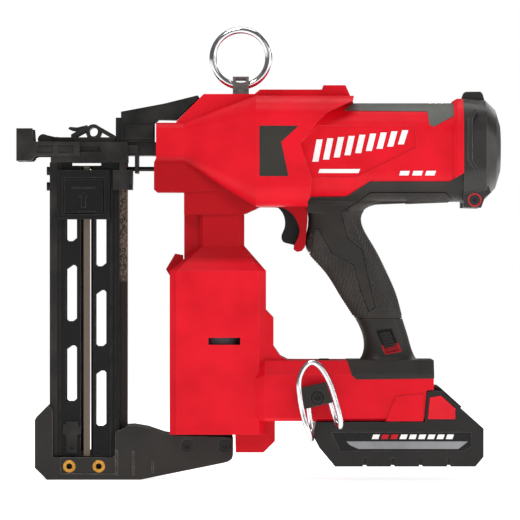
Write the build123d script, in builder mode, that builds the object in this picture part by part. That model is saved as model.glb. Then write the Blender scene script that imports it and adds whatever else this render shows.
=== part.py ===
from build123d import *
from math import atan2, cos, degrees, pi, radians, sin, sqrt
import os

os.makedirs("parts", exist_ok=True)

# Frame: millimetres. Origin on the flat underside of the magazine shoe,
# +X from the nose to the rear cap, +Z up, y = 0 is the split plane of the clamshell.
# Left pieces lie at negative y.

# ---- driving dimensions -------------------------------------------------------
WALL = 2.6                      # clamshell wall
NECK_WALL = 1.4                 # thin wall where the gearbox fills the neck
DRIVE_Z = 228.0                 # height of the drive axis
COLLAR = (21.0, 220.5, 248.6, 5.0)      # half width, low z, high z, corner radius
MIDDLE = (40.0, 190.0, 267.0, 14.0)
BARREL = (34.2, 194.3, 261.9, 20.0)
FRONT_X = 43.5                  # front face of the collar
CONE_START = 62.4
CONE_END = 113.0
BARREL_END = 256.9              # face that the rear cap closes
MID_REAR = 181.0
MOTOR_X = 89.25                 # vertical motor and gearbox axis
MOTOR_R = 25.0
LIFTER_X = 106.0                # vertical lifter axis
LIFTER_Y = 18.6
PIN_RING = 12.0                 # radius that the lifter pins sit on
PIN_R = 2.0
PIN_SLOTS = 8
BLADE_HALF = 6.2
BLADE_T = 3.6
BLADE_FRONT = 20.5
PISTON_X = 231.0
TRIGGER_PIVOT = (137.0, 194.6)  # x and z
GRIP_T = 1.3                    # thickness of the rubber skin
BATTERY_HALF = 38.0
FOOT_HALF = 37.0
SHOE_HALF = 17.0
MAG_IN = 8.8                    # half width of the staple channel
RING_R = 19.5                   # hanging ring, wire centre line
RING_WIRE = 2.5
RING_X = 102.4
RING_LOW_Z = 274.7
HOOK_WIRE = 1.9
HOOK_SCREW = (155.4, 58.2)
SUN_TEETH = 12
PLANET_TEETH = 15
RING_TEETH = 42
PLANET_MODULE = 0.55
PINION_TEETH = 22
LIFTER_TEETH = 28
RACK_PITCH = 2 * pi * PIN_RING / PIN_SLOTS


# ---- helpers --------------------------------------------------------------------
def slab(points, y_low, y_high, mode=Mode.ADD):
    """Side outline in x and z, as thick as y_low to y_high."""
    with BuildSketch(Plane.XZ.offset(-y_high)) as outline:
        Polygon(*points, align=None)
    extrude(outline.sketch, amount=y_high - y_low, dir=(0, -1, 0), mode=mode)


def curved_slab(curve, corners, y_low, y_high):
    """Side outline with one smooth edge through the curve, closed by straight edges."""
    with BuildSketch(Plane.XZ.offset(-y_high)) as outline:
        with BuildLine():
            Spline(*curve)
            Polyline(curve[-1], *corners, curve[0])
        make_face()
    extrude(outline.sketch, amount=y_high - y_low, dir=(0, -1, 0))


def cheeks(points, y_in, y_out, mode=Mode.ADD):
    """The same side outline on the left and on the right."""
    slab(points, -y_out, -y_in, mode)
    slab(points, y_in, y_out, mode)


def grown_slab(points, amount, y_low, y_high, mode=Mode.ADD):
    """Side outline grown by amount all round."""
    with BuildSketch(Plane.XZ.offset(-y_high)) as outline:
        Polygon(*points, align=None)
        offset(amount=amount, kind=Kind.INTERSECTION)
    extrude(outline.sketch, amount=y_high - y_low, dir=(0, -1, 0), mode=mode)


def block(x0, x1, y0, y1, z0, z1, mode=Mode.ADD):
    with Locations(((x0 + x1) / 2, (y0 + y1) / 2, (z0 + z1) / 2)):
        Box(x1 - x0, y1 - y0, z1 - z0, mode=mode)


def pair(x0, x1, y_in, y_out, z0, z1, mode=Mode.ADD):
    block(x0, x1, y_in, y_out, z0, z1, mode)
    block(x0, x1, -y_out, -y_in, z0, z1, mode)


def peg_x(y, z, radius, x0, x1, mode=Mode.ADD):
    with Locations(((x0 + x1) / 2, y, z)):
        Cylinder(radius, x1 - x0, rotation=(0, 90, 0), mode=mode)


def peg_y(x, z, radius, y0, y1, mode=Mode.ADD):
    with Locations((x, (y0 + y1) / 2, z)):
        Cylinder(radius, y1 - y0, rotation=(90, 0, 0), mode=mode)


def peg_z(x, y, radius, z0, z1, mode=Mode.ADD):
    with Locations((x, y, (z0 + z1) / 2)):
        Cylinder(radius, z1 - z0, mode=mode)


def section_x(x, half, low, high, radius):
    with BuildSketch(Plane.YZ.offset(x)) as cut:
        with Locations((0, (low + high) / 2)):
            RectangleRounded(2 * half, high - low, radius)
    return cut.sketch


def body_x(stations, mode=Mode.ADD):
    """Straight-sided body through upright sections along x."""
    loft([section_x(*station) for station in stations], ruled=True, mode=mode)


def section_z(z, x0, x1, half, radius):
    with BuildSketch(Plane.XY.offset(z)) as cut:
        with Locations(((x0 + x1) / 2, 0)):
            RectangleRounded(x1 - x0, 2 * half, radius)
    return cut.sketch


def body_z(stations, ruled=True, mode=Mode.ADD):
    loft([section_z(*station) for station in stations], ruled=ruled, mode=mode)


def shrink(section, inset):
    half, low, high, radius = section
    return (half - inset, low + inset, high - inset, max(radius - inset, 1.0))


def gear_points(teeth, module, at, phase, low, high, wide, narrow):
    """Trapezoid teeth; low and high in modules from the pitch circle, widths as parts of a pitch."""
    points = []
    pitch = 2 * pi / teeth
    for tooth in range(teeth):
        middle = radians(phase) + tooth * pitch
        for radius_step, side in ((low, -wide), (high, -narrow), (high, narrow), (low, wide)):
            radius = module * (teeth / 2 + radius_step)
            angle = middle + side * pitch
            points.append((at[0] + radius * cos(angle), at[1] + radius * sin(angle)))
    return points


def prism_z(points, z0, z1, mode=Mode.ADD):
    with BuildSketch(Plane.XY.offset(z0)) as outline:
        Polygon(*points, align=None)
    extrude(outline.sketch, amount=z1 - z0, dir=(0, 0, 1), mode=mode)


def socket_screw_y(x, z, y_seat, side, head_r, head_h, shank_r, shank_l, socket_r):
    """Cap screw along y; side is +1 or -1 for the way its head looks."""
    y_top = y_seat + side * head_h
    y_tip = y_seat - side * shank_l
    peg_y(x, z, head_r, min(y_seat, y_top), max(y_seat, y_top))
    peg_y(x, z, shank_r, min(y_seat, y_tip), max(y_seat, y_tip))
    plane = Plane(origin=(x, y_top, z), x_dir=(1, 0, 0), z_dir=(0, -side, 0))
    with BuildSketch(plane) as socket:
        RegularPolygon(socket_r, 6)
    extrude(socket.sketch, amount=head_h * 0.7, dir=(0, -side, 0), mode=Mode.SUBTRACT)


# ---- outlines shared by neighbours ------------------------------------------------
SPINE = [(57.5, 249.3), (76.6, 268.6), (112.0, 268.6), (115.8, 271.7), (158.8, 271.7),
         (159.9, 274.7), (175.3, 274.7), (181.0, 262.0), (181.0, 240.0), (57.5, 240.0)]
SPINE_IN = [(60.5, 248.0), (78.0, 265.6), (113.0, 265.6), (116.6, 268.7), (172.0, 268.7),
            (177.0, 258.0), (177.0, 243.0), (60.5, 243.0)]
MID_STEP = [(190.0, 280.0), (181.5, 270.0), (180.2, 263.3), (161.5, 254.7), (154.5, 247.4),
            (143.6, 233.5), (148.0, 220.1), (151.4, 211.8), (150.6, 196.6), (150.6, 180.0),
            (190.0, 180.0)]
LOWER_BLOCK = [(42.0, 220.9), (42.0, 202.0), (44.1, 200.1), (62.4, 200.1), (96.0, 201.8),
               (96.0, 224.0), (43.5, 224.0)]
NECK_BLOCK = [(62.9, 202.0), (62.9, 184.5), (106.2, 185.3), (115.8, 189.9), (115.8, 202.0)]
NECK_RIB = [(62.9, 186.0), (62.9, 153.2), (78.0, 153.2), (78.0, 186.0)]
SHOULDER_LUG = [(50.0, 146.5), (56.5, 157.5), (62.0, 156.5), (62.0, 143.0), (52.5, 142.5)]
COLUMN_STEP = [(112.0, 118.3), (120.0, 118.3), (125.2, 112.9), (125.2, 93.1), (130.0, 86.1),
               (135.3, 83.4), (143.8, 83.2), (143.8, 60.0), (112.0, 60.0)]
COLUMN_BASE = [(98.2, 45.0), (98.9, 19.3), (118.2, 19.3), (126.2, 27.2), (126.2, 60.0),
               (98.2, 60.0)]
GUARD_FRONT = [(126.9, 189.6), (132.4, 189.0), (137.6, 185.8), (141.8, 179.4), (143.4, 173.4),
               (142.2, 168.2), (139.5, 163.0)]
GUARD_BACK = [(139.4, 160.2), (142.0, 158.6), (144.9, 159.3), (147.2, 162.1), (149.0, 180.7),
              (149.0, 194.0), (150.6, 197.5), (126.9, 197.5)]
TRIGGER_FRONT = [(128.2, 189.6), (131.9, 185.2), (133.3, 180.0), (132.7, 174.8), (130.9, 170.0),
                 (131.2, 167.0), (133.4, 165.0)]
TRIGGER_BACK = [(139.8, 163.4), (141.6, 164.6), (146.2, 176.0), (146.2, 190.0), (141.0, 197.6),
                (133.6, 197.6), (130.5, 193.0)]
SADDLE = [(148.9, 185.0), (148.9, 193.5), (150.6, 196.6), (175.6, 196.9), (191.9, 207.3),
          (247.0, 207.3), (BARREL_END, 213.2), (BARREL_END, 185.0)]
FLANGE = [(176.0, 84.0), (179.5, 73.2), (182.3, 70.4), (236.5, 71.1), (236.5, 90.0),
          (176.0, 90.0)]
TOP_INLAY = [(184.0, 266.0), (181.0, 262.7), (174.0, 256.6), (231.8, 256.0), (233.2, 246.4),
             (236.2, 245.3), (251.5, 253.6), (251.0, 266.0)]
SIDE_INLAY = [(115.4, 245.8), (142.5, 245.8), (130.5, 234.6), (135.5, 210.9), (115.4, 210.9)]
BADGE = [(155.9, 246.1), (223.2, 246.1), (223.8, 230.5), (182.0, 210.2), (151.4, 210.2),
         (143.6, 233.5)]
GRIP_REGION = [(172.3, 186.3), (184.0, 193.5), (192.4, 199.8), (244.6, 199.8),
               (249.3, 194.6), (249.3, 185.0), (216.5, 185.0), (216.5, 112.4),
               (172.0, 112.4), (144.0, 152.0), (144.0, 157.6), (151.9, 158.2),
               (153.4, 174.7), (156.4, 175.1), (165.5, 157.9), (180.9, 149.5),
               (185.1, 134.1), (191.4, 117.0), (196.3, 120.1), (193.5, 130.6),
               (190.0, 146.7), (187.2, 160.0), (176.7, 168.4)]
SWITCH_HOLE = [(195.9, 104.3), (207.5, 106.0), (214.5, 89.2), (202.9, 86.9)]

NECK_HALF = 15.55
NECK_CUT = 2.4
COLUMN_CUT = 5.0
# how much a flat corner shrinks for each millimetre of wall
CORNER_SHARE = 2 - sqrt(2)

# z, front x, rear x, half width
HANDLE_STATIONS = [(82.0, 182.6, 229.0, 20.0), (87.0, 187.4, 223.2, 17.0),
                   (99.6, 187.8, 219.2, 16.5), (113.0, 181.9, 215.0, 17.0),
                   (128.0, 172.3, 210.9, 17.5), (145.7, 160.9, 203.3, 17.5),
                   (156.0, 151.6, 198.3, 17.5), (163.0, 147.4, 194.4, 17.5),
                   (174.0, 148.3, 188.0, 17.0), (184.0, 148.8, 186.3, 16.5),
                   (190.8, 149.4, 193.5, 16.5), (197.0, 150.4, 212.0, 16.5)]


def middle_body(inset, rear, mode=Mode.ADD):
    body_x([(FRONT_X + inset, *shrink(COLLAR, inset)), (CONE_START, *shrink(COLLAR, inset)),
            (CONE_END, *shrink(MIDDLE, inset)), (rear, *shrink(MIDDLE, inset))], mode)


def barrel_body(inset, front, rear, mode=Mode.ADD):
    body_x([(front, *shrink(BARREL, inset)), (rear, *shrink(BARREL, inset))], mode)


def cut_corners(z, x0, x1, half, cut):
    """Level section with flat corners."""
    left = [(x0, half - cut), (x0, cut - half), (x0 + cut, -half)]
    right = [(x1 - cut, -half), (x1, cut - half), (x1, half - cut)]
    with BuildSketch(Plane.XY.offset(z)) as level:
        Polygon(*left, *right, (x1 - cut, half), (x0 + cut, half), align=None)
    return level.sketch


def column_body(inset, neck_inset, top, mode=Mode.ADD):
    low = (53.1 + inset, 120.0 - inset, 30.0 - inset, COLUMN_CUT - CORNER_SHARE * inset)
    neck_half = NECK_HALF - neck_inset
    neck_cut = NECK_CUT - CORNER_SHARE * neck_inset
    neck = (MOTOR_X - neck_half, MOTOR_X + neck_half, neck_half, neck_cut)
    loft([cut_corners(31.9 + inset, *low), cut_corners(145.5, *low),
          cut_corners(163.0, *neck), cut_corners(top, *neck)], ruled=True, mode=mode)


def foot_points(x, half, low, high, inset):
    side = half - inset
    points = [(side - 2, low), (side, low + 2), (side, high - 9.7), (side - 8, high)]
    mirrored = [(-y, z) for y, z in reversed(points)]
    with BuildSketch(Plane.YZ.offset(x)) as cut:
        Polygon(*(points + mirrored), align=None)
    return cut.sketch


def foot_body(inset, front, rear, mode=Mode.ADD):
    low = 41.5 + inset
    high = 83.2 - inset
    loft([foot_points(front, FOOT_HALF - 6, low + 1, high - 3, inset),
          foot_points(front + 6.5, FOOT_HALF, low, high, inset),
          foot_points(rear, FOOT_HALF, low, high, inset)], ruled=True, mode=mode)


def handle_solid(inset):
    stations = []
    for z, x0, x1, half in HANDLE_STATIONS:
        stations.append((z, x0 + inset, x1 - inset, half - inset, 13.0 - inset))
    body_z(stations, ruled=False)
    barrel_body(inset - 0.5, 186.0, BARREL_END)
    slab([(190.0, 191.6 + inset), (249.5, 193.9 + inset), (BARREL_END, 194.6 + inset),
          (BARREL_END, 205.0), (190.0, 205.0)], -14 + inset, 14 - inset)


# ---- clamshell housing --------------------------------------------------------------
with BuildPart() as housing:
    middle_body(0, MID_REAR)
    slab(MID_STEP, -45, 45, Mode.SUBTRACT)
    barrel_body(0, 141.0, BARREL_END)
    body_x([(250.2, 36.0, 192.4, 263.8, 21.5), (253.0, 37.6, 190.8, 265.4, 23.0),
            (BARREL_END, 37.6, 190.8, 265.4, 23.0)])
    slab(SPINE, -17, 17)
    slab(LOWER_BLOCK, -18, 18)
    slab(NECK_BLOCK, -17, 17)
    slab(NECK_RIB, -10, 10)
    slab(SHOULDER_LUG, -5, 5)
    column_body(0, 0, 202.0)
    slab(COLUMN_STEP, -25, 25)
    slab(COLUMN_BASE, -24, 24)
    foot_body(0, 112.8, 236.0)
    cheeks([(202.6, 41.5), (210.3, 58.5), (228.6, 59.9), (228.6, 41.5)], 36, 38.2)
    curved_slab(GUARD_FRONT, GUARD_BACK, -14, 14)
    # hollow
    middle_body(WALL, 140.5, Mode.SUBTRACT)
    barrel_body(3.0, 140.4, 260.0, Mode.SUBTRACT)
    slab(SPINE_IN, -14.4, 14.4, Mode.SUBTRACT)
    block(45.0, 88.0, -15.4, 15.4, 203.0, 223.0, Mode.SUBTRACT)
    block(65.8, 113.0, -14.4, 14.4, 187.8, 224.0, Mode.SUBTRACT)
    column_body(WALL, NECK_WALL, 204.0, Mode.SUBTRACT)
    block(110.0, 123.0, -21.0, 21.0, 62.0, 110.0, Mode.SUBTRACT)
    block(101.5, 123.4, -21.4, 21.4, 22.0, 64.0, Mode.SUBTRACT)
    foot_body(WALL, 116.0, 233.4, Mode.SUBTRACT)

CAVITY_FLOOR = 57.0
with BuildPart() as housing_ribs:
    # foot deck above the battery rails and the solid cheeks beside them
    block(126.0, 233.4, -34.4, 34.4, 44.1, CAVITY_FLOOR)
    # motor seats across the column
    for low, high in ((62.0, 68.0), (88.0, 91.0), (112.0, 115.0), (126.0, 132.0)):
        block(55.7, 117.4, -27.4, 27.4, low, high)
    # rod guide behind the front block
    block(62.0, 64.0, -15.4, 15.4, 203.0, 220.0)
    # trigger pivot posts
    pair(133.4, 140.6, 7.8, 12.0, 191.0, 198.6)
    peg_y(*TRIGGER_PIVOT, 1.58, -13.0, 13.0, Mode.SUBTRACT)
    peg_z(MOTOR_X, 0, 9.0, 60.0, 70.0, Mode.SUBTRACT)
    peg_z(MOTOR_X, 0, MOTOR_R, 80.0, 118.0, Mode.SUBTRACT)
    peg_z(MOTOR_X, 0, 11.0, 124.0, 134.0, Mode.SUBTRACT)
    for x, y in ((62.0, 20.0), (111.0, 20.0)):
        for side in (-1, 1):
            peg_z(x, side * y, 5.0, 60.0, 134.0, Mode.SUBTRACT)

# x, z and half length of the screw posts between the halves
SCREW_SPOTS = [(54.0, 207.3, 16.5), (128.0, 204.0, 38.5), (132.0, 258.0, 36.0),
               (62.0, 140.0, 28.5), (112.0, 56.0, 28.5), (140.0, 68.0, 36.0)]
HEAD_DEPTH = 8.0
RAIL_HEAD = 27.6
RAIL_STEM = 21.6
with BuildPart() as housing_whole:
    add(housing.part)
    add(housing_ribs.part)
    for x, z, reach in SCREW_SPOTS:
        peg_y(x, z, 4.0, -reach, reach)
    # openings
    slab(SADDLE, -45, 45, Mode.SUBTRACT)
    slab(FLANGE, -45, 45, Mode.SUBTRACT)
    slab([(229.2, 40.0), (231.0, 62.6), (237.0, 63.3), (237.0, 40.0)], -45, 45, Mode.SUBTRACT)
    block(157.0, 240.0, -RAIL_STEM, RAIL_STEM, 40.0, 47.0, Mode.SUBTRACT)
    block(157.0, 240.0, -RAIL_HEAD, RAIL_HEAD, 46.4, 54.8, Mode.SUBTRACT)
    block(148.0, 157.1, -16.0, 16.0, 44.0, 54.8, Mode.SUBTRACT)
    block(126.0, 153.0, -7.6, 7.6, 162.0, 199.0, Mode.SUBTRACT)
    cheeks([(80.1, 94.2), (102.1, 94.2), (102.1, 99.1), (80.1, 99.1)], 26, 32, Mode.SUBTRACT)
    peg_x(0, 216.7, 2.1, 40.0, 70.0, Mode.SUBTRACT)
    block(41.0, 47.0, -13.0, 13.0, 223.4, 236.8, Mode.SUBTRACT)
    block(58.0, 97.0, -7.6, 7.6, 30.0, 36.0, Mode.SUBTRACT)
    block(150.4, 171.0, -9.0, 9.0, 81.6, 84.0, Mode.SUBTRACT)
    block(156.0, 165.0, -5.0, 5.0, 78.0, 82.0, Mode.SUBTRACT)
    # trims set into the skin
    cheeks(SIDE_INLAY, MIDDLE[0] - 1.5, 45, Mode.SUBTRACT)
    cheeks(BADGE, BARREL[0] - 1.0, 40, Mode.SUBTRACT)
    peg_z(RING_X, 9.0, 1.6, 264.0, 270.0, Mode.SUBTRACT)
    peg_z(RING_X, -9.0, 1.6, 264.0, 270.0, Mode.SUBTRACT)
    for x, z, reach in SCREW_SPOTS:
        peg_y(x, z, 1.6, -13.0, reach, Mode.SUBTRACT)
        peg_y(x, z, 3.0, reach - HEAD_DEPTH, 45.0, Mode.SUBTRACT)
    peg_y(*HOOK_SCREW, 2.5, -40.0, -35.2, Mode.SUBTRACT)

with BuildPart() as inlay_region:
    barrel_body(-0.3, 172.0, 252.0)
    slab(TOP_INLAY, -45, 45, Mode.INTERSECT)
    block(170.0, 181.3, -17.3, 17.3, 250.0, 270.0, Mode.SUBTRACT)
with BuildPart() as barrel_core:
    barrel_body(1.5, 166.0, 255.0)
with BuildPart() as inlay_blank:
    add(inlay_region.part)
    add(barrel_core.part, mode=Mode.SUBTRACT)
with BuildPart() as top_inlay:
    add(inlay_blank.part)
    for number in range(3):
        x = 234.0 + 4.0 * number
        block(x, x + 1.0, -40, 40, 261.0, 263.0, Mode.SUBTRACT)
top_inlay.part.label = "top_inlay"

with BuildPart() as housing_left:
    add(housing_whole.part)
    add(inlay_blank.part, mode=Mode.SUBTRACT)
    split(bisect_by=Plane.XZ, keep=Keep.TOP)
housing_left.part.label = "housing_left"
with BuildPart() as housing_right:
    add(housing_whole.part)
    add(inlay_blank.part, mode=Mode.SUBTRACT)
    split(bisect_by=Plane.XZ, keep=Keep.BOTTOM)
housing_right.part.label = "housing_right"

# ---- handle clamshell, rubber grips ---------------------------------------------------
with BuildPart() as flange:
    foot_body(-0.3, 150.0, 236.3)
    slab(FLANGE, -45, 45, Mode.INTERSECT)
    block(184.0, 230.0, -26.0, 26.0, 68.0, 80.6, Mode.SUBTRACT)

with BuildPart() as saddle:
    barrel_body(-0.5, 150.0, BARREL_END)
    block(148.9, 178.0, -16.5, 16.5, 186.0, 200.0)
    slab([(190.0, 191.6), (249.5, 193.9), (BARREL_END, 194.6), (BARREL_END, 205.0),
          (190.0, 205.0)], -14, 14)
    slab(SADDLE, -45, 45, Mode.INTERSECT)

with BuildPart() as grip_core:
    handle_solid(GRIP_T)
with BuildPart() as grip_skin:
    handle_solid(0)
    slab(GRIP_REGION, -50, 50, Mode.INTERSECT)
    add(grip_core.part, mode=Mode.SUBTRACT)
with BuildPart() as grip_pocket:
    handle_solid(0)
    grown_slab(GRIP_REGION, 0.4, -50, 50, Mode.INTERSECT)
    add(grip_core.part, mode=Mode.SUBTRACT)

with BuildPart() as handle:
    body_z([(z, x0, x1, half, 13.0) for z, x0, x1, half in HANDLE_STATIONS], ruled=False)
    slab([(140.0, 78.0), (237.0, 78.0), (237.0, 192.0), (190.0, 192.0), (184.0, 197.0),
          (148.9, 197.0), (140.0, 160.0)], -30, 30, Mode.INTERSECT)
    add(saddle.part)
    add(flange.part)
    body_z([(z, x0 + 3.0, x1 - 3.0, half - 3.0, 10.0) for z, x0, x1, half in HANDLE_STATIONS],
           ruled=False, mode=Mode.SUBTRACT)
    barrel_body(3.0, 140.0, 260.0, Mode.SUBTRACT)
    add(grip_pocket.part, mode=Mode.SUBTRACT)
    block(126.0, 153.0, -7.6, 7.6, 162.0, 199.0, Mode.SUBTRACT)
    grown_slab(SWITCH_HOLE, 0.0, -30, -12.5, Mode.SUBTRACT)
    add(housing_whole.part, mode=Mode.SUBTRACT)

with BuildPart() as handle_left:
    add(handle.part)
    split(bisect_by=Plane.XZ, keep=Keep.TOP)
handle_left.part.label = "handle_left"
with BuildPart() as handle_right:
    add(handle.part)
    split(bisect_by=Plane.XZ, keep=Keep.BOTTOM)
handle_right.part.label = "handle_right"
with BuildPart() as grip_left:
    add(grip_skin.part)
    split(bisect_by=Plane.XZ, keep=Keep.TOP)
grip_left.part.label = "grip_left"
with BuildPart() as grip_right:
    add(grip_skin.part)
    split(bisect_by=Plane.XZ, keep=Keep.BOTTOM)
grip_right.part.label = "grip_right"

# ---- rear cap ---------------------------------------------------------------------------
CAP_LOBE = [(BARREL_END, 266.1), (258.2, 269.7), (259.4, 270.5), (269.7, 270.6), (271.2, 269.1),
            (272.7, 264.0), (272.7, 250.0), (BARREL_END, 250.0)]
CAP_FOOT = [(BARREL_END, 189.5), (269.1, 189.2), (271.8, 196.4), (276.0, 199.6), (272.0, 212.0),
            (BARREL_END, 212.0)]
CAP_SCREW = (264.6, 194.6)
CAP_FOOT_OUT = 29.5
CAP_SEAT = 27.0
with BuildPart() as rear_cap:
    body_x([(BARREL_END, 36.4, 193.0, 265.4, 22.0), (272.7, 36.4, 195.6, 264.0, 22.0),
            (279.8, 31.0, 203.0, 257.6, 22.0), (283.2, 22.0, 214.0, 247.0, 15.5)])
    slab(CAP_LOBE, -7.5, 7.5)
    cheeks(CAP_FOOT, 16.0, CAP_FOOT_OUT)
    cheeks([(259.5, 250.0), (263.5, 257.5), (266.0, 257.5), (262.8, 250.0), (262.8, 222.0),
            (267.6, 214.5), (265.0, 214.5), (259.5, 222.0)], 35.0, 37.4)
    body_x([(BARREL_END - 1, 33.0, 197.0, 261.4, 19.0), (271.0, 33.0, 199.0, 260.6, 19.0),
            (277.5, 27.6, 206.4, 254.2, 19.0), (280.6, 19.0, 217.0, 244.0, 13.0)],
           Mode.SUBTRACT)
    for side in (-1, 1):
        peg_y(*CAP_SCREW, 4.8, min(side * CAP_SEAT, side * 31.0), max(side * CAP_SEAT, side * 31.0),
              Mode.SUBTRACT)
        peg_y(*CAP_SCREW, 2.0, min(side * 20.0, side * 28.0), max(side * 20.0, side * 28.0),
              Mode.SUBTRACT)
rear_cap.part.label = "rear_cap"

with BuildPart() as cap_screws:
    # a collar ring round each sunk head
    collar_out = CAP_FOOT_OUT + 0.4
    pocket = CAP_SEAT + 1.5
    for side in (-1, 1):
        peg_y(*CAP_SCREW, 4.8, min(side * CAP_SEAT, side * collar_out),
              max(side * CAP_SEAT, side * collar_out))
        peg_y(*CAP_SCREW, 3.6, min(side * pocket, side * 31.0), max(side * pocket, side * 31.0),
              Mode.SUBTRACT)
    for side in (-1, 1):
        socket_screw_y(*CAP_SCREW, side * CAP_SEAT, side, 3.3, 2.4, 2.0, 6.0, 1.6)
cap_screws.part.label = "cap_screws"

# ---- trims ---------------------------------------------------------------------------------
with BuildPart() as side_inlays:
    grown_slab(SIDE_INLAY, -0.15, -MIDDLE[0], -MIDDLE[0] + 1.5)
    grown_slab(SIDE_INLAY, -0.15, MIDDLE[0] - 1.5, MIDDLE[0])
side_inlays.part.label = "side_inlays"

BADGE_FACE = BARREL[0] - 1.0
BAR_COUNT = 9


def badge_bars(side):
    """A band of slanted bars, with one straight bar under them and three short ones behind."""
    def bar(points, face):
        low, high = sorted((side * face, side * (face + 0.5)))
        slab(points, low, high)
    for number in range(BAR_COUNT):
        x = 152.0 + 7.4 * number
        foot = 221.0 + 1.5 * number
        head = 236.5 + 0.8 * number
        bar([(x, foot), (x + 4.2, foot), (x + 7.2, head), (x + 3.0, head)], BADGE_FACE)
    bar([(156.0, 213.2), (184.0, 213.2), (185.2, 216.0), (157.2, 216.0)], BADGE_FACE)
    for number in range(3):
        x = 212.0 + 9.0 * number
        bar([(x, 211.5), (x + 6.5, 211.5), (x + 7.5, 214.7), (x + 1.0, 214.7)], BARREL[0])


with BuildPart() as badges:
    badge_bars(-1)
    badge_bars(1)
    add(housing_whole.part, mode=Mode.SUBTRACT)
badges.part.label = "badges"

# ---- hanging ring and its strap ---------------------------------------------------------------
STRAP_X0 = 96.8
STRAP_X1 = 108.0
with BuildPart() as hang_strap:
    block(STRAP_X0, STRAP_X1, -5.2, 5.2, 268.6, 281.2)
    block(STRAP_X0, STRAP_X1, -13.0, 13.0, 268.6, 270.1)
    block(STRAP_X0 - 1, STRAP_X1 + 1, -3.6, 3.6, 271.8, 278.4, Mode.SUBTRACT)
    pair(99.0, 105.8, 3.0, 6.0, 276.6, 280.0, Mode.SUBTRACT)
    for side in (-1, 1):
        # rivets that hold the strap
        peg_z(RING_X, side * 9.0, 2.9, 270.1, 271.9)
        peg_z(RING_X, side * 9.0, 1.6, 264.4, 269.0)
hang_strap.part.label = "hang_strap"

with BuildPart() as hang_ring:
    with Locations((RING_X, 0, RING_LOW_Z + RING_R)):
        Torus(RING_R, RING_WIRE, rotation=(90, 0, 0))
hang_ring.part.label = "hang_ring"

# ---- trigger group ------------------------------------------------------------------------------
with BuildPart() as trigger:
    curved_slab(TRIGGER_FRONT, TRIGGER_BACK, -6.9, 6.9)
    block(139.0, 150.0, -3.6, 3.6, 163.0, 200.0, Mode.SUBTRACT)
    peg_y(*TRIGGER_PIVOT, 1.5, -10.0, 10.0)
trigger.part.label = "trigger"

with BuildPart() as trigger_switch:
    block(154.0, 170.0, -8.5, 8.5, 168.0, 187.0)
    block(170.0, 174.0, -5.5, 5.5, 172.0, 182.0)
    peg_x(0, 178.0, 2.0, 149.4, 154.0)
trigger_switch.part.label = "trigger_switch"

# ---- lock switch on the left of the handle --------------------------------------------------------
with BuildPart() as lock_frame:
    grown_slab(SWITCH_HOLE, 0.0, -16.2, -12.5)
    grown_slab(SWITCH_HOLE, -1.0, -17.5, -13.6, Mode.SUBTRACT)
lock_frame.part.label = "lock_frame"
SWITCH_SLIDE = (0.371, -0.929)
with BuildPart() as lock_switch:
    grown_slab([(196.6, 103.6), (206.9, 105.1), (212.0, 92.4), (201.8, 90.2)], -1.3, -16.8, -13.6)
    for number in range(5):
        x = 198.2 + SWITCH_SLIDE[0] * 2.2 * number
        z = 101.6 + SWITCH_SLIDE[1] * 2.2 * number
        slab([(x + 0.8, z), (x + 8.0, z + 1.1), (x + 8.3, z + 0.3), (x + 1.1, z - 0.8)],
             -17.2, -16.8)
lock_switch.part.label = "lock_switch"

# ---- control panel on the foot -----------------------------------------------------------------------
with BuildPart() as control_panel:
    block(150.5, 170.9, -8.9, 8.9, 81.6, 83.2)
    peg_z(160.5, 0, 3.6, 81.0, 84.0, Mode.SUBTRACT)
    block(152.0, 155.5, -5.5, 5.5, 82.8, 84.0, Mode.SUBTRACT)
control_panel.part.label = "control_panel"
with BuildPart() as mode_button:
    peg_z(160.5, 0, 3.5, 80.0, 84.1)
    peg_z(160.5, 0, 4.6, 79.0, 80.4)
mode_button.part.label = "mode_button"

# ---- belt hook ---------------------------------------------------------------------------------------
CLAMP = [(143.6, 64.8), (161.3, 68.8), (166.2, 55.0), (146.6, 50.3)]
HOOK_IN_Y = -44.0
HOOK_OUT_Y = -61.0
HOOK_PATH = [(148.8, HOOK_IN_Y, 57.0), (150.2, HOOK_IN_Y, 44.0), (151.4, HOOK_IN_Y - 2.0, 34.0),
             (151.0, (HOOK_IN_Y + HOOK_OUT_Y) / 2, 29.6), (149.6, HOOK_OUT_Y + 1.2, 33.5),
             (145.9, HOOK_OUT_Y, 45.0), (142.8, HOOK_OUT_Y, 62.0), (143.3, HOOK_OUT_Y, 73.4),
             (151.4, HOOK_OUT_Y, 82.8), (160.8, HOOK_OUT_Y, 74.4), (165.6, HOOK_OUT_Y, 63.5),
             (169.6, HOOK_OUT_Y, 50.0), (171.2, HOOK_OUT_Y + 1.2, 42.5),
             (170.8, (HOOK_IN_Y + HOOK_OUT_Y) / 2, 37.6), (169.2, HOOK_IN_Y - 2.0, 40.0),
             (166.4, HOOK_IN_Y, 48.0), (163.4, HOOK_IN_Y, 59.0)]
with BuildPart() as belt_hook:
    with BuildLine() as hook_line:
        Spline(*HOOK_PATH)
    start = hook_line.line @ 0
    heading = hook_line.line % 0
    with BuildSketch(Plane(origin=start, z_dir=heading)) as hook_round:
        Circle(HOOK_WIRE)
    sweep(hook_round.sketch, path=hook_line.line)
belt_hook.part.label = "belt_hook"
with BuildPart() as hook_clamp:
    slab(CLAMP, -49.5, -FOOT_HALF)
    peg_y(*HOOK_SCREW, 4.5, -50.0, -46.4, Mode.SUBTRACT)
    peg_y(*HOOK_SCREW, 2.5, -50.0, -30.0, Mode.SUBTRACT)
    add(belt_hook.part, mode=Mode.SUBTRACT)
hook_clamp.part.label = "hook_clamp"
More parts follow.
